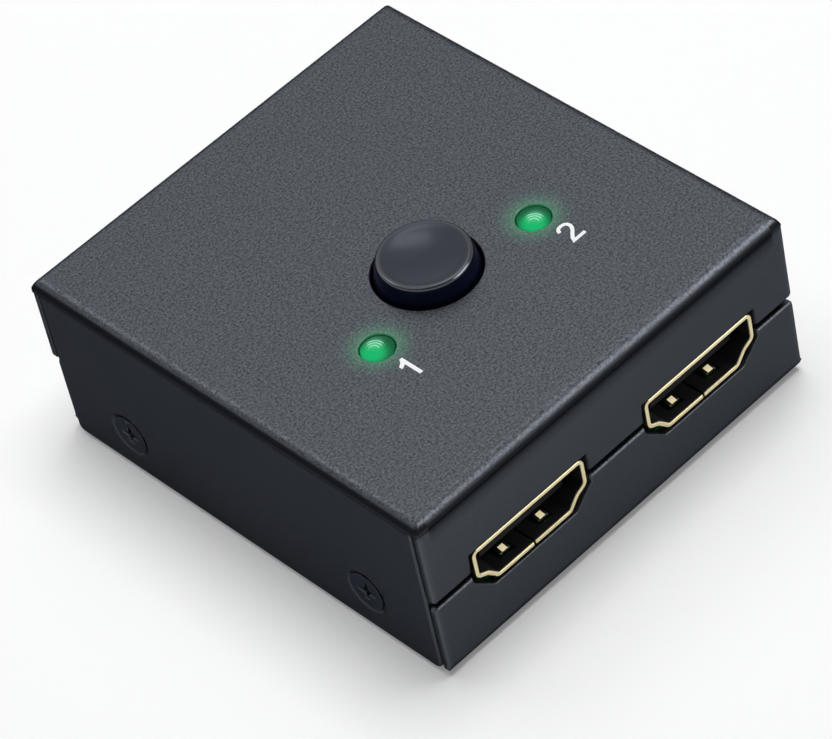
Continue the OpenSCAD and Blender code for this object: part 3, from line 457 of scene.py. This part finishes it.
def plating_effect():
    """A mask for the plating kept clear of the painted shade inside a socket: at its rim and on the
    humps of its lower fingers.
    """
    if "Unshaded Plating" in bpy.data.node_groups:
        return bpy.data.node_groups["Unshaded Plating"]
    group, given, out = new_group(
        "Unshaded Plating",
        [("Position", "NodeSocketVector", None), ("Mouth", "NodeSocketVector", None),
         ("Rim Depth", "NodeSocketFloat", 0.2 * MM), ("Finger Place", "NodeSocketFloat", 2.5 * MM),
         ("Hump Depth", "NodeSocketFloat", 3 * MM), ("Hump Size", "NodeSocketFloat", 0.6 * MM)],
        [("Rim", "NodeSocketFloat", None), ("Hump", "NodeSocketFloat", None)])
    link = group.links.new
    away = node(group, "VectorMath", operation="SUBTRACT")
    link(given.outputs["Position"], away.inputs[0])
    link(given.outputs["Mouth"], away.inputs[1])
    axes = node(group, "SeparateXYZ")
    link(away.outputs[0], axes.inputs[0])
    depth = math_node(group, "ABSOLUTE", axes.outputs["Y"])
    link(math_node(group, "LESS_THAN", depth, given.outputs["Rim Depth"]), out.inputs["Rim"])
    aside = math_node(group, "ABSOLUTE", axes.outputs["X"])
    off = math_node(group, "ABSOLUTE",
                    math_node(group, "SUBTRACT", aside, given.outputs["Finger Place"]))
    along = math_node(group, "ABSOLUTE",
                      math_node(group, "SUBTRACT", depth, given.outputs["Hump Depth"]))
    far = math_node(group, "MAXIMUM", off, along)
    hump = math_node(group, "LESS_THAN", far, given.outputs["Hump Size"])
    low = math_node(group, "LESS_THAN", axes.outputs["Z"], 0.0)
    link(math_node(group, "MULTIPLY", hump, low), out.inputs["Hump"])
    return group


def new_material(name):
    made = bpy.data.materials.new(name)
    made.use_nodes = True
    tree = made.node_tree
    shader = tree.nodes["Principled BSDF"]
    place = node(tree, "TexCoord")
    return made, tree, shader, place.outputs["Object"]


def use_effect(tree, effect, **values):
    """A shared effect in a material, with its plain inputs set."""
    made = tree.nodes.new("ShaderNodeGroup")
    made.node_tree = effect
    for label, value in values.items():
        made.inputs[label.replace("_", " ")].default_value = value
    return made


def finish(name, first, second, roughness, metallic=0.0, size=0.3 * MM, depth=0.01 * MM,
           rough_drift=0.1, drift_size=10 * MM, **sockets):
    """A material with grain in its height, drift in its roughness and a mix of two near colours."""
    made, tree, shader, place = new_material(name)
    link = tree.links.new
    grain = use_effect(tree, grain_effect(), Size=size, Drift_Size=drift_size)
    link(place, grain.inputs["Position"])
    tone = use_effect(tree, blend_effect(), First=tuple(first) + (1.0,),
                      Second=tuple(second) + (1.0,))
    link(grain.outputs["Drift"], tone.inputs["Mask"])
    link(tone.outputs["Colour"], shader.inputs["Base Color"])
    rough = math_node(tree, "MULTIPLY_ADD", grain.outputs["Drift"], rough_drift)
    rough.node.inputs[2].default_value = roughness - rough_drift / 2
    link(rough, shader.inputs["Roughness"])
    bump = node(tree, "Bump", Strength=1.0, Distance=depth)
    link(grain.outputs["Height"], bump.inputs["Height"])
    link(bump.outputs["Normal"], shader.inputs["Normal"])
    shader.inputs["Metallic"].default_value = metallic
    for label, value in sockets.items():
        shader.inputs[label.replace("_", " ")].default_value = value
    return made


def scaled(colour, factor):
    return tuple(min(1.0, c * factor) for c in colour)


# Shapes

def add_object(name, bm, materials):
    mesh = bpy.data.meshes.new(name)
    bm.to_mesh(mesh)
    bm.free()
    made = bpy.data.objects.new(name, mesh)
    bpy.context.scene.collection.objects.link(made)
    for material in materials:
        mesh.materials.append(material)
    return made


def softened(cad_node, name, width, materials, segments=2, wider=None, wide=0.0):
    """A copy of a CAD solid whose sharp edges are rounded to the given width.

    The edges that wider() picks by their middle are rounded more, to the width wide.
    """
    bm = bmesh.new()
    bm.from_mesh(frame["nodes"][cad_node].data)
    bmesh.ops.remove_doubles(bm, verts=bm.verts, dist=MERGE)
    bmesh.ops.dissolve_degenerate(bm, dist=MERGE, edges=bm.edges)
    bmesh.ops.dissolve_limit(bm, angle_limit=FLAT_ANGLE, verts=bm.verts, edges=bm.edges)
    for size, steps, picks in ((wide, WIDE_STEPS, wider), (width, segments, lambda middle: True)):
        if picks is None:
            continue
        sharp = [e for e in bm.edges if e.is_manifold and e.calc_face_angle() > SHARP_ANGLE
                 and picks((e.verts[0].co + e.verts[1].co) / 2)]
        bmesh.ops.bevel(bm, geom=sharp, offset=size, offset_type="OFFSET", segments=steps,
                        profile=0.5, affect="EDGES", clamp_overlap=False)
    skin = BVHTree.FromObject(frame["nodes"][cad_node], bpy.context.evaluated_depsgraph_get())
    for vert in bm.verts:
        nearest, _, _, gap = skin.find_nearest(vert.co)
        if gap > LEEWAY * max(width, wide):
            vert.co = nearest
    for face in bm.faces:
        face.smooth = True
        face.material_index = 0
    made = add_object(name, bm, materials)
    for attribute in ("custom_normal", "sharp_face", "sharp_edge"):
        if attribute in made.data.attributes:
            made.data.attributes.remove(made.data.attributes[attribute])
    made.data.set_sharp_from_angle(angle=CREASE_ANGLE)
    weighted = made.modifiers.new("Flat faces stay flat", "WEIGHTED_NORMAL")
    weighted.keep_sharp = True
    return made


def place(piece, body, slot, *replaced):
    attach(piece, body)
    if replaced:
        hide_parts(*replaced)
    return piece


def recoat(cad_node, material):
    """Gives a CAD node that stays in view its own material."""
    slots = frame["nodes"][cad_node].data.materials
    slots.clear()
    slots.append(material)


def copied(cad_node, name, material):
    """A copy of a CAD solid as it is, with smooth shading."""
    bm = bmesh.new()
    bm.from_mesh(frame["nodes"][cad_node].data)
    for face in bm.faces:
        face.smooth = True
        face.material_index = 0
    return add_object(name, bm, [material])


def lamp_centre(name):
    low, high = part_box(name)
    return Vector(((low.x + high.x) / 2, (low.y + high.y) / 2, high.z))


# Pieces

def paint_material(name, case, lamps=None):
    """Black powder coat, grainier on the top, with a painted highlight at the flaps' ends.

    With the lamps' settings it is the cover's, which has painted shade on the folds and the lamps'
    light painted round them.
    """
    made = finish(name, case.paint, case.paint, case.paint_roughness, metallic=case.paint_metal,
                  size=case.grain_size, depth=case.grain_depth, rough_drift=0.06,
                  Specular_Tint=tuple(case.paint_edge) + (1.0,), Specular_IOR_Level=case.paint_gloss)
    tree = made.node_tree
    link = tree.links.new
    shader = tree.nodes["Principled BSDF"]
    where = next(n for n in tree.nodes if n.type == "TEX_COORD").outputs["Object"]
    grain = next(n for n in tree.nodes if n.type == "GROUP" and n.node_tree == grain_effect())
    facing = node(tree, "SeparateXYZ")
    link(node(tree, "NewGeometry").outputs["Normal"], facing.inputs[0])
    on_top = ramp(tree, facing.outputs["Z"], TOP_GRAIN)
    across = node(tree, "SeparateXYZ")
    link(where, across.inputs[0])
    inward = math_node(tree, "SUBTRACT", COVER[1].x - FLAP_INSET,
                       math_node(tree, "ABSOLUTE", across.outputs["X"]))
    near_end = ramp(tree, math_node(tree, "DIVIDE", inward, END_HIGHLIGHT_REACH, True), FLAP_END_HIGHLIGHT)
    out_face = math_node(tree, "GREATER_THAN", math_node(tree, "ABSOLUTE", across.outputs["Y"]),
                         COVER[1].y - SHEET / 2)
    ahead = math_node(tree, "GREATER_THAN", math_node(tree, "ABSOLUTE", facing.outputs["Y"]), 0.5)
    edge = math_node(tree, "MULTIPLY", math_node(tree, "MULTIPLY", near_end, out_face), ahead)
    swing = math_node(tree, "MULTIPLY", math_node(tree, "SUBTRACT", grain.outputs["Height"], 0.5),
                      GRAIN_GAIN)
    speck = math_node(tree, "MULTIPLY_ADD", swing, on_top)
    speck.node.inputs[2].default_value = 0.5
    speck.node.use_clamp = True
    grained = use_effect(tree, blend_effect(), First=scaled(case.paint, 1 - case.grain_tone) + (1.0,),
                         Second=scaled(case.paint, 1 + case.grain_tone) + (1.0,))
    link(speck, grained.inputs["Mask"])
    # Painted highlight: the coat is made lighter near the ends of the front and rear flaps
    end_highlighted = use_effect(tree, blend_effect(), Second=scaled(case.paint, 1 + case.end_highlight) + (1.0,))
    link(grained.outputs["Colour"], end_highlighted.inputs["First"])
    link(edge, end_highlighted.inputs["Mask"])
    if lamps is None:
        link(end_highlighted.outputs["Colour"], shader.inputs["Base Color"])
        return made
    # Painted shade: the coat is darkened in a band on the folds
    fold_shade_band = use_effect(tree, fold_shade_effect(), Top=TOP_Z, Side=COVER[1].x - FOLD_R)
    link(where, fold_shade_band.inputs["Position"])
    fold_shaded = use_effect(tree, blend_effect(), Second=scaled(case.paint, 1 - case.fold_shade_strength) + (1.0,))
    link(end_highlighted.outputs["Colour"], fold_shaded.inputs["First"])
    link(fold_shade_band.outputs["Mask"], fold_shaded.inputs["Mask"])
    link(fold_shaded.outputs["Colour"], shader.inputs["Base Color"])
    masks = []
    for lamp_name in LAMPS:
        centre = lamp_centre(lamp_name)
        glow = use_effect(tree, glow_effect(), Centre=(centre.x, centre.y, TOP_Z),
                          Reach=lamps.glow_reach)
        link(where, glow.inputs["Position"])
        masks.append(glow.outputs["Mask"])
    # Painted light: the lamps' glow on the paint round them is given off by the paint as emission
    spilt = use_effect(tree, blend_effect(), First=(0, 0, 0, 1), Second=tuple(lamps.glow) + (1.0,))
    outside = math_node(tree, "GREATER_THAN", across.outputs["Z"], TOP_Z - SHEET / 4)
    on_wall = math_node(tree, "MULTIPLY_ADD", outside, 1 - WALL_GLOW)
    on_wall.node.inputs[2].default_value = WALL_GLOW
    link(math_node(tree, "MULTIPLY", math_node(tree, "ADD", *masks), on_wall), spilt.inputs["Mask"])
    link(spilt.outputs["Colour"], shader.inputs["Emission Color"])
    shader.inputs["Emission Strength"].default_value = 1.0
    return made


def on_flap_edge(middle):
    """Whether an edge with this middle bounds a flap on its outer face, or is the mitre of two folds.

    Edges by the sockets and the side screws are left out.
    """
    x, y = abs(middle.x), abs(middle.y)
    if middle.z > TOP_Z - FOLD_R + NEAR:
        return x > COVER[1].x - FOLD_R and y > COVER[1].y - FOLD_R
    if y > COVER[1].y - NEAR:
        cut_from, cut_to = FRONT_CUT if middle.y < 0 else REAR_CUT
        return not cut_from < x < cut_to
    return x > COVER[1].x - NEAR and (y > SCREW_ZONE or middle.z < SHEET)


class SWITCHBOX_OT_case(bpy.types.Operator):
    """Builds the folded cover and tray with rounded sheet edges and a powder coat"""
    bl_idname = "switchbox.case"
    bl_label = "Case"

    def execute(self, context):
        case = settings("box_case")
        cover = softened("top_cover", "cover_sheet", case.edge,
                         [paint_material("Cover Powder Coat", case, settings("box_lamps"))],
                         wider=on_flap_edge, wide=case.flap_edge)
        place(cover, "case", "painted_steel", "top_cover")
        tray = softened("bottom_tray", "tray_sheet", case.edge,
                        [paint_material("Tray Powder Coat", case)],
                        wider=on_flap_edge, wide=case.flap_edge)
        place(tray, "case", "painted_steel", "bottom_tray")
        oxide = finish("Black Oxide", case.screw, scaled(case.screw, 1.3), 0.36,
                       metallic=case.paint_metal, size=0.15 * MM, depth=0.004 * MM,
                       Specular_Tint=tuple(case.paint_edge) + (1.0,),
                       Specular_IOR_Level=case.paint_gloss)
        screws = softened("side_screws", "side_screw_set", case.screw_edge, [oxide])
        place(screws, "case", "black_steel", "side_screws")
        return {"FINISHED"}


def shaded_plating(port, mouth, look):
    """Painted shade inside a socket, with the plating's own colour at its rim and on the humps of its
    fingers.
    """
    made = finish("Lining " + port, look.inner_shade, look.inner_shade, 0.5, size=0.1 * MM, depth=0.002 * MM)
    tree = made.node_tree
    link = tree.links.new
    shader = tree.nodes["Principled BSDF"]
    unshaded = use_effect(tree, plating_effect(), Mouth=mouth, Rim_Depth=look.rim_depth,
                      Finger_Place=look.finger_gap, Hump_Depth=look.hump_depth,
                      Hump_Size=look.hump_size)
    link(node(tree, "TexCoord").outputs["Object"], unshaded.inputs["Position"])
    gold_mask = math_node(tree, "MAXIMUM", unshaded.outputs["Rim"], unshaded.outputs["Hump"])
    tone = use_effect(tree, blend_effect(), First=tuple(look.inner_shade) + (1.0,),
                      Second=tuple(look.gold) + (1.0,))
    link(gold_mask, tone.inputs["Mask"])
    link(tone.outputs["Colour"], shader.inputs["Base Color"])
    link(gold_mask, shader.inputs["Metallic"])
    # Painted highlight: the humps' plating also gives off light as emission
    hump_glint = use_effect(tree, blend_effect(), First=(0, 0, 0, 1),
                        Second=scaled(look.gold, look.hump_light) + (1.0,))
    link(unshaded.outputs["Hump"], hump_glint.inputs["Mask"])
    link(hump_glint.outputs["Colour"], shader.inputs["Emission Color"])
    shader.inputs["Emission Strength"].default_value = 1.0
    return made


class SWITCHBOX_OT_sockets(bpy.types.Operator):
    """Builds the three plated socket shells, and finishes their insulators and contacts"""
    bl_idname = "switchbox.sockets"
    bl_label = "Sockets"

    def execute(self, context):
        look = settings("box_sockets")
        gold = finish("Pale Gold Plate", look.gold, scaled(look.gold, 0.9), 0.32, metallic=1.0,
                      size=0.2 * MM, depth=0.002 * MM)
        moulded = finish("Socket Insulator", srgb(5, 6, 10), srgb(8, 9, 13), 0.6, size=0.12 * MM,
                         depth=0.003 * MM, Specular_IOR_Level=0.15)
        contact = finish("Contact Gold", srgb(150, 120, 60), srgb(170, 140, 80), 0.45, metallic=1.0,
                         size=0.08 * MM, depth=0.001 * MM)
        for port in ALL_PORTS:
            low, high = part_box(port + "_shell")
            faces_front = port in FRONT_PORTS
            mouth = Vector(((low.x + high.x) / 2, low.y if faces_front else high.y, SOCKET_Z))
            shell = softened(port + "_shell", port + "_plated_shell", look.edge,
                             [gold, shaded_plating(port, mouth, look)])
            # Faces that look in towards the socket's middle take the painted shade
            for face in shell.data.polygons:
                across = Vector((face.center.x - mouth.x, 0, face.center.z - mouth.z))
                if face.normal.dot(across) < 0:
                    face.material_index = 1
            place(shell, "case", "gold_plate", port + "_shell")
            recoat(port + "_insulator", moulded)
            recoat(port + "_contacts", contact)
        return {"FINISHED"}


class SWITCHBOX_OT_button(bpy.types.Operator):
    """Builds the push button, and finishes the switch under it"""
    bl_idname = "switchbox.button"
    bl_label = "Button and Switch"

    def execute(self, context):
        look = settings("box_button")
        low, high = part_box("button_cap")
        centre = (low + high) / 2
        satin = finish("Button Satin", look.top, scaled(look.top, 1.05), 0.17, size=0.1 * MM,
                       depth=0.0004 * MM, rough_drift=0.04, metallic=1.0,
                       Specular_Tint=tuple(look.slant) + (1.0,))
        tree = satin.node_tree
        shader = tree.nodes["Principled BSDF"]
        # Painted highlight: a lighter ring of colour on the rim of the button's top
        near = use_effect(tree, glow_effect(), Centre=(centre.x, centre.y, high.z), Reach=RIM_REACH)
        tree.links.new(node(tree, "TexCoord").outputs["Object"], near.inputs["Position"])
        rim = ramp(tree, near.outputs["Mask"], ((0.0, 1.0), (RIM_HIGHLIGHT_SHARE, 1.0), (RIM_HIGHLIGHT_SHARE * 3, 0.0)))
        highlit = use_effect(tree, blend_effect(), Second=tuple(look.rim) + (1.0,))
        tree.links.new(shader.inputs["Base Color"].links[0].from_socket, highlit.inputs["First"])
        tree.links.new(rim, highlit.inputs["Mask"])
        tree.links.new(highlit.outputs["Colour"], shader.inputs["Base Color"])
        gloss = finish("Button Gloss", look.side, scaled(look.side, 1.2), 0.3, size=0.2 * MM,
                       depth=0.0005 * MM, rough_drift=0.04, Specular_IOR_Level=0.1)
        cap = softened("button_cap", "push_button", look.edge, [satin, gloss], segments=3)
        for face in cap.data.polygons:
            if face.normal.z < SIDE_RISE:
                face.material_index = 1
        place(cap, "button", "button_plastic", "button_cap")
        black = finish("Switch Housing Plastic", srgb(20, 21, 24), srgb(28, 29, 32), 0.5, size=0.2 * MM,
                       depth=0.004 * MM)
        white = finish("Plunger Plastic", srgb(222, 222, 214), srgb(232, 232, 226), 0.45, size=0.2 * MM,
                       depth=0.003 * MM)
        tinned = finish("Tinned Brass", srgb(196, 192, 180), srgb(212, 210, 200), 0.35, metallic=1.0,
                        size=0.1 * MM, depth=0.002 * MM)
        bronze = finish("Bridge Gold", srgb(206, 168, 92), srgb(220, 186, 112), 0.32, metallic=1.0,
                        size=0.1 * MM, depth=0.001 * MM)
        wire = finish("Plated Wire", srgb(190, 190, 186), srgb(206, 206, 202), 0.3, metallic=1.0,
                      size=0.08 * MM, depth=0.001 * MM)
        for cad_node, material in (("switch_housing", black), ("switch_base", black),
                                   ("switch_plunger", white), ("switch_pins", tinned),
                                   ("switch_bridges", bronze), ("switch_latch_wire", wire)):
            recoat(cad_node, material)
        spring = place(copied("switch_spring", "return_spring", wire), "case", "plated_steel",
                       "switch_spring")
        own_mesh(spring)
        return {"FINISHED"}


def lens_material(name, look, arcs_at, core_at):
    """Green epoxy, lit from below, with painted shade on its far side and light arcs painted over it as
    highlights.
    """
    made = finish("Green Epoxy " + name, look.lens, scaled(look.lens, 1.1), 0.3, size=0.3 * MM,
                  depth=0.0004 * MM, rough_drift=0.02, Specular_IOR_Level=0.08)
    tree = made.node_tree
    link = tree.links.new
    centre = lamp_centre(name)

    def at(right, away):
        """A point on the lens, in millimetres to the photograph's right and up."""
        return centre + (LENS_RIGHT * right + LENS_UP * away) * MM

    lit = use_effect(tree, lens_effect(), Core=at(*core_at), Arcs=at(*arcs_at),
                     Sheen=at(arcs_at[0], arcs_at[1] + SHEEN_RISE))
    link(node(tree, "TexCoord").outputs["Object"], lit.inputs["Position"])
    # The bright middle sits off centre, so that the lens's far side is painted as shade
    body = use_effect(tree, blend_effect(), First=tuple(look.shade) + (1.0,),
                      Second=tuple(look.light) + (1.0,))
    link(lit.outputs["Core"], body.inputs["Mask"])
    # Painted highlight: light arcs over the lens, given off as emission
    arc_highlighted = use_effect(tree, blend_effect(), Second=tuple(look.arc_highlight) + (1.0,))
    link(body.outputs["Colour"], arc_highlighted.inputs["First"])
    link(lit.outputs["Arcs"], arc_highlighted.inputs["Mask"])
    upper = use_effect(tree, blend_effect(), First=(0, 0, 0, 1))
    link(arc_highlighted.outputs["Colour"], upper.inputs["Second"])
    link(lit.outputs["Upper"], upper.inputs["Mask"])
    shader = tree.nodes["Principled BSDF"]
    link(upper.outputs["Colour"], shader.inputs["Emission Color"])
    shader.inputs["Emission Strength"].default_value = LENS_STRENGTH
    return made


class SWITCHBOX_OT_lamps(bpy.types.Operator):
    """Builds the two green lenses, and finishes the lamps' legs"""
    bl_idname = "switchbox.lamps"
    bl_label = "Lamps"

    def execute(self, context):
        look = settings("box_lamps")
        legs = finish("Lamp Legs", srgb(190, 190, 186), srgb(206, 206, 202), 0.35, metallic=1.0,
                      size=0.1 * MM, depth=0.002 * MM)
        for name, arcs_at, core_at in LENS_LIGHTS:
            lens = softened(name, name + "_lens", look.edge,
                            [lens_material(name, look, arcs_at, core_at)])
            place(lens, "case", "green_lens", name)
            recoat(name + "_legs", legs)
        return {"FINISHED"}


# Outline of the 1 and centre line of the 2, in shares of their height from the lower left corner
ONE_SHARES = [(0.415, 0.985), (0.415, -0.015), (0.27, -0.015), (0.27, 0.7), (0.17, 0.64), (0.06, 0.6),
              (0.06, 0.76), (0.16, 0.81), (0.24, 0.88), (0.29, 0.985)]
TWO_SHARES = [(0.078, 0.727), (0.106, 0.83), (0.195, 0.915), (0.32, 0.935), (0.455, 0.91),
              (0.545, 0.83), (0.572, 0.72), (0.54, 0.6), (0.445, 0.47), (0.3, 0.335), (0.175, 0.2),
              (0.117, 0.0675), (0.67, 0.0675)]
# Name, outline or centre line, lower left corner and height of each digit
DIGITS = (("digit_one", ONE_SHARES, (-11.36 * MM, -13.46 * MM), 2.87 * MM),
          ("digit_two", TWO_SHARES, (10.33 * MM, -13.33 * MM), 2.74 * MM))


def stroke_outline(points, width):
    """The outline of a line of the given width, with mitred corners and square ends."""
    sides = []
    for i, point in enumerate(points):
        runs = [(points[j + 1] - points[j]).normalized() for j in (i - 1, i)
                if 0 <= j < len(points) - 1]
        across = [Vector((-run.y, run.x)) for run in runs]
        mitre = sum(across, Vector((0, 0))).normalized()
        sides.append(mitre * width / 2 / mitre.dot(across[0]))
    return [p + s for p, s in zip(points, sides)] + [p - s for p, s in zip(points, sides)][::-1]


def printed(name, outline, thickness, material):
    """A thin flat shape on the top of the cover."""
    bm = bmesh.new()
    face = bm.faces.new([bm.verts.new((p.x, p.y, TOP_Z)) for p in outline])
    raised = bmesh.ops.extrude_face_region(bm, geom=[face])
    lifted = [item for item in raised["geom"] if isinstance(item, bmesh.types.BMVert)]
    bmesh.ops.translate(bm, verts=lifted, vec=(0, 0, thickness))
    bmesh.ops.triangulate(bm, faces=[f for f in bm.faces if len(f.verts) > 4])
    bmesh.ops.recalc_face_normals(bm, faces=bm.faces)
    return add_object(name, bm, [material])


class SWITCHBOX_OT_marks(bpy.types.Operator):
    """Prints the digits 1 and 2 beside the lamps"""
    bl_idname = "switchbox.marks"
    bl_label = "Digits"

    def execute(self, context):
        look = settings("box_marks")
        ink = finish("White Ink", look.ink, scaled(look.ink, 0.96), 0.6, size=0.15 * MM,
                     depth=0.003 * MM)
        for name, shares, corner, height in DIGITS:
            line = [Vector((corner[0] + x * height, corner[1] + y * height)) for x, y in shares]
            outline = line if shares is ONE_SHARES else stroke_outline(line, look.stroke)
            place(printed(name, outline, look.thickness, ink), "case", "painted_steel")
        return {"FINISHED"}


class SWITCHBOX_OT_inside(bpy.types.Operator):
    """Finishes the circuit board and the small parts on it"""
    bl_idname = "switchbox.inside"
    bl_label = "Inside"

    def execute(self, context):
        board = finish("Solder Resist", srgb(20, 84, 52), srgb(26, 100, 62), 0.35, size=0.5 * MM,
                       depth=0.004 * MM, drift_size=3 * MM)
        plated = finish("Zinc Plate", srgb(176, 178, 176), srgb(196, 198, 196), 0.38, metallic=1.0,
                        size=0.2 * MM, depth=0.003 * MM)
        tinned = finish("Lead Tin", srgb(196, 194, 186), srgb(212, 210, 204), 0.35, metallic=1.0,
                        size=0.08 * MM, depth=0.001 * MM)
        moulded = finish("Chip Moulding", srgb(24, 25, 27), srgb(32, 33, 35), 0.6, size=0.1 * MM,
                         depth=0.004 * MM)
        glazed = finish("Resistor Glaze", srgb(18, 18, 24), srgb(30, 30, 36), 0.3, size=0.2 * MM,
                        depth=0.002 * MM)
        fired = finish("Capacitor Body", srgb(150, 118, 84), srgb(168, 136, 100), 0.5, size=0.15 * MM,
                       depth=0.003 * MM)
        for cad_node, material in (("circuit_board", board), ("board_standoffs", plated),
                                   ("board_screws", plated), ("routing_chip", moulded),
                                   ("routing_chip_leads", tinned), ("resistors", glazed),
                                   ("capacitors", fired), ("supply_diodes", moulded)):
            recoat(cad_node, material)
        return {"FINISHED"}


def softbox(name, direction, distance, width, height, brightness, on_floor):
    """A light that faces the object, and shows either in glossy coats or on matt surfaces.

    A brightness of 1 looks white in a mirror.
    """
    data = bpy.data.lights.new(name, "AREA")
    data.shape = "RECTANGLE"
    data.size, data.size_y = width, height
    data.energy = brightness * math.pi * width * height
    made = bpy.data.objects.new(name, data)
    bpy.context.scene.collection.objects.link(made)
    toward = Vector(direction).normalized()
    made.matrix_world = Matrix.Translation(toward * distance) @ toward.to_track_quat("Z", "Y") \
        .to_matrix().to_4x4()
    made.visible_glossy = not on_floor
    made.visible_diffuse = on_floor
    made.visible_camera = False
    return made


def floor_material(look):
    """Matt pale floor, which the background lightens for the camera and in reflections."""
    made, tree, shader, where = new_material("Pale Floor")
    shader.inputs["Roughness"].default_value = 0.9
    shader.inputs["Specular IOR Level"].default_value = 0.0
    paper = node(tree, "TexNoise", Scale=40.0)
    tree.links.new(where, paper.inputs["Vector"])
    tone = use_effect(tree, blend_effect(), First=tuple(look.floor) + (1.0,),
                      Second=scaled(look.floor, 0.995) + (1.0,))
    tree.links.new(paper.outputs["Fac"], tone.inputs["Mask"])
    tree.links.new(tone.outputs["Colour"], shader.inputs["Base Color"])
    path = node(tree, "LightPath")
    seen = math_node(tree, "MAXIMUM", path.outputs["Is Camera Ray"], reflected(tree, path))
    lift = use_effect(tree, blend_effect(), First=(0, 0, 0, 1),
                      Second=(look.floor_lift,) * 3 + (1.0,))
    tree.links.new(seen, lift.inputs["Mask"])
    tree.links.new(lift.outputs["Colour"], shader.inputs["Emission Color"])
    shader.inputs["Emission Strength"].default_value = 1.0
    return made


def reflected(tree, path):
    """Whether a ray comes from a glossy or a clear surface."""
    return math_node(tree, "MAXIMUM", path.outputs["Is Glossy Ray"],
                     path.outputs["Is Transmission Ray"])


def studio_world(look):
    """White to the camera, dim on matt surfaces, and in glossy coats white low down and grey above."""
    made = bpy.data.worlds.new("Studio")
    made.use_nodes = True
    tree = made.node_tree
    link = tree.links.new

    def mixed(share, first, second):
        """A mix of two colours, each of which is a setting or comes from another mix."""
        mix = node(tree, "Mix", data_type="RGBA")
        link(share, mix.inputs[0])
        for index, colour in ((6, first), (7, second)):
            if isinstance(colour, bpy.types.NodeSocket):
                link(colour, mix.inputs[index])
            else:
                mix.inputs[index].default_value = tuple(colour) + (1.0,)
        return mix.outputs[2]

    path = node(tree, "LightPath")
    heading = node(tree, "SeparateXYZ")
    link(node(tree, "TexCoord").outputs["Generated"], heading.inputs[0])
    shown = mixed(path.outputs["Is Camera Ray"], look.dim, look.backdrop)
    in_gloss = mixed(ramp(tree, heading.outputs["Z"], UPPER_PART), look.horizon, look.mirrored)
    link(mixed(reflected(tree, path), shown, in_gloss), tree.nodes["Background"].inputs["Color"])
    return made


def photo_camera():
    data = bpy.data.cameras.new("photo_camera")
    data.sensor_width = SENSOR_WIDTH
    data.lens = FOCAL_PIXELS / PHOTO_WIDTH * SENSOR_WIDTH
    data.clip_start, data.clip_end = 0.01, 20.0
    made = bpy.data.objects.new("photo_camera", data)
    bpy.context.scene.collection.objects.link(made)
    axes = Matrix((CAMERA_RIGHT, CAMERA_UP, -CAMERA_AHEAD)).transposed()
    made.matrix_world = Matrix.Translation(CAMERA_AT) @ axes.to_4x4()
    return made


class SWITCHBOX_OT_stage(bpy.types.Operator):
    """Builds the floor, the lights and the camera"""
    bl_idname = "switchbox.stage"
    bl_label = "Stage"

    def execute(self, context):
        look = settings("box_stage")
        bm = bmesh.new()
        bmesh.ops.create_grid(bm, x_segments=2, y_segments=2, size=FLOOR_REACH)
        add_object("floor", bm, [floor_material(look)])
        for name, direction, distance, width, height, brightness, on_floor in SOFTBOXES:
            softbox(name, direction, distance, width, height, getattr(look, brightness), on_floor)
        scene = context.scene
        scene.world = studio_world(look)
        scene.camera = photo_camera()
        scene.view_settings.view_transform = "Standard"
        return {"FINISHED"}


OPERATORS = (SWITCHBOX_OT_stage, SWITCHBOX_OT_case, SWITCHBOX_OT_sockets, SWITCHBOX_OT_button,
             SWITCHBOX_OT_lamps, SWITCHBOX_OT_marks, SWITCHBOX_OT_inside)


class SWITCHBOX_PT_pieces(bpy.types.Panel):
    """Lists the builders of the pieces and their settings"""
    bl_idname = "SWITCHBOX_PT_pieces"
    bl_label = "Switch Box"
    bl_space_type = "VIEW_3D"
    bl_region_type = "UI"
    bl_category = "Switch Box"

    def draw(self, context):
        for operator in OPERATORS:
            self.layout.operator(operator.bl_idname)
        for kind in SETTINGS:
            holder = getattr(context.scene, kind)
            column = self.layout.column(heading=kind)
            for label in holder.__annotations__:
                column.prop(holder, label)


CLASSES = tuple(SETTINGS.values()) + OPERATORS + (SWITCHBOX_PT_pieces,)


def register():
    for cls in CLASSES:
        bpy.utils.register_class(cls)
    for name, group in SETTINGS.items():
        setattr(bpy.types.Scene, name, PointerProperty(type=group))


def unregister():
    for name in SETTINGS:
        delattr(bpy.types.Scene, name)
    for cls in reversed(CLASSES):
        bpy.utils.unregister_class(cls)


def main():
    register()
    bpy.ops.switchbox.stage()
    bpy.ops.switchbox.case()
    bpy.ops.switchbox.sockets()
    bpy.ops.switchbox.button()
    bpy.ops.switchbox.lamps()
    bpy.ops.switchbox.marks()
    bpy.ops.switchbox.inside()


if __name__ == "__main__":
    main()
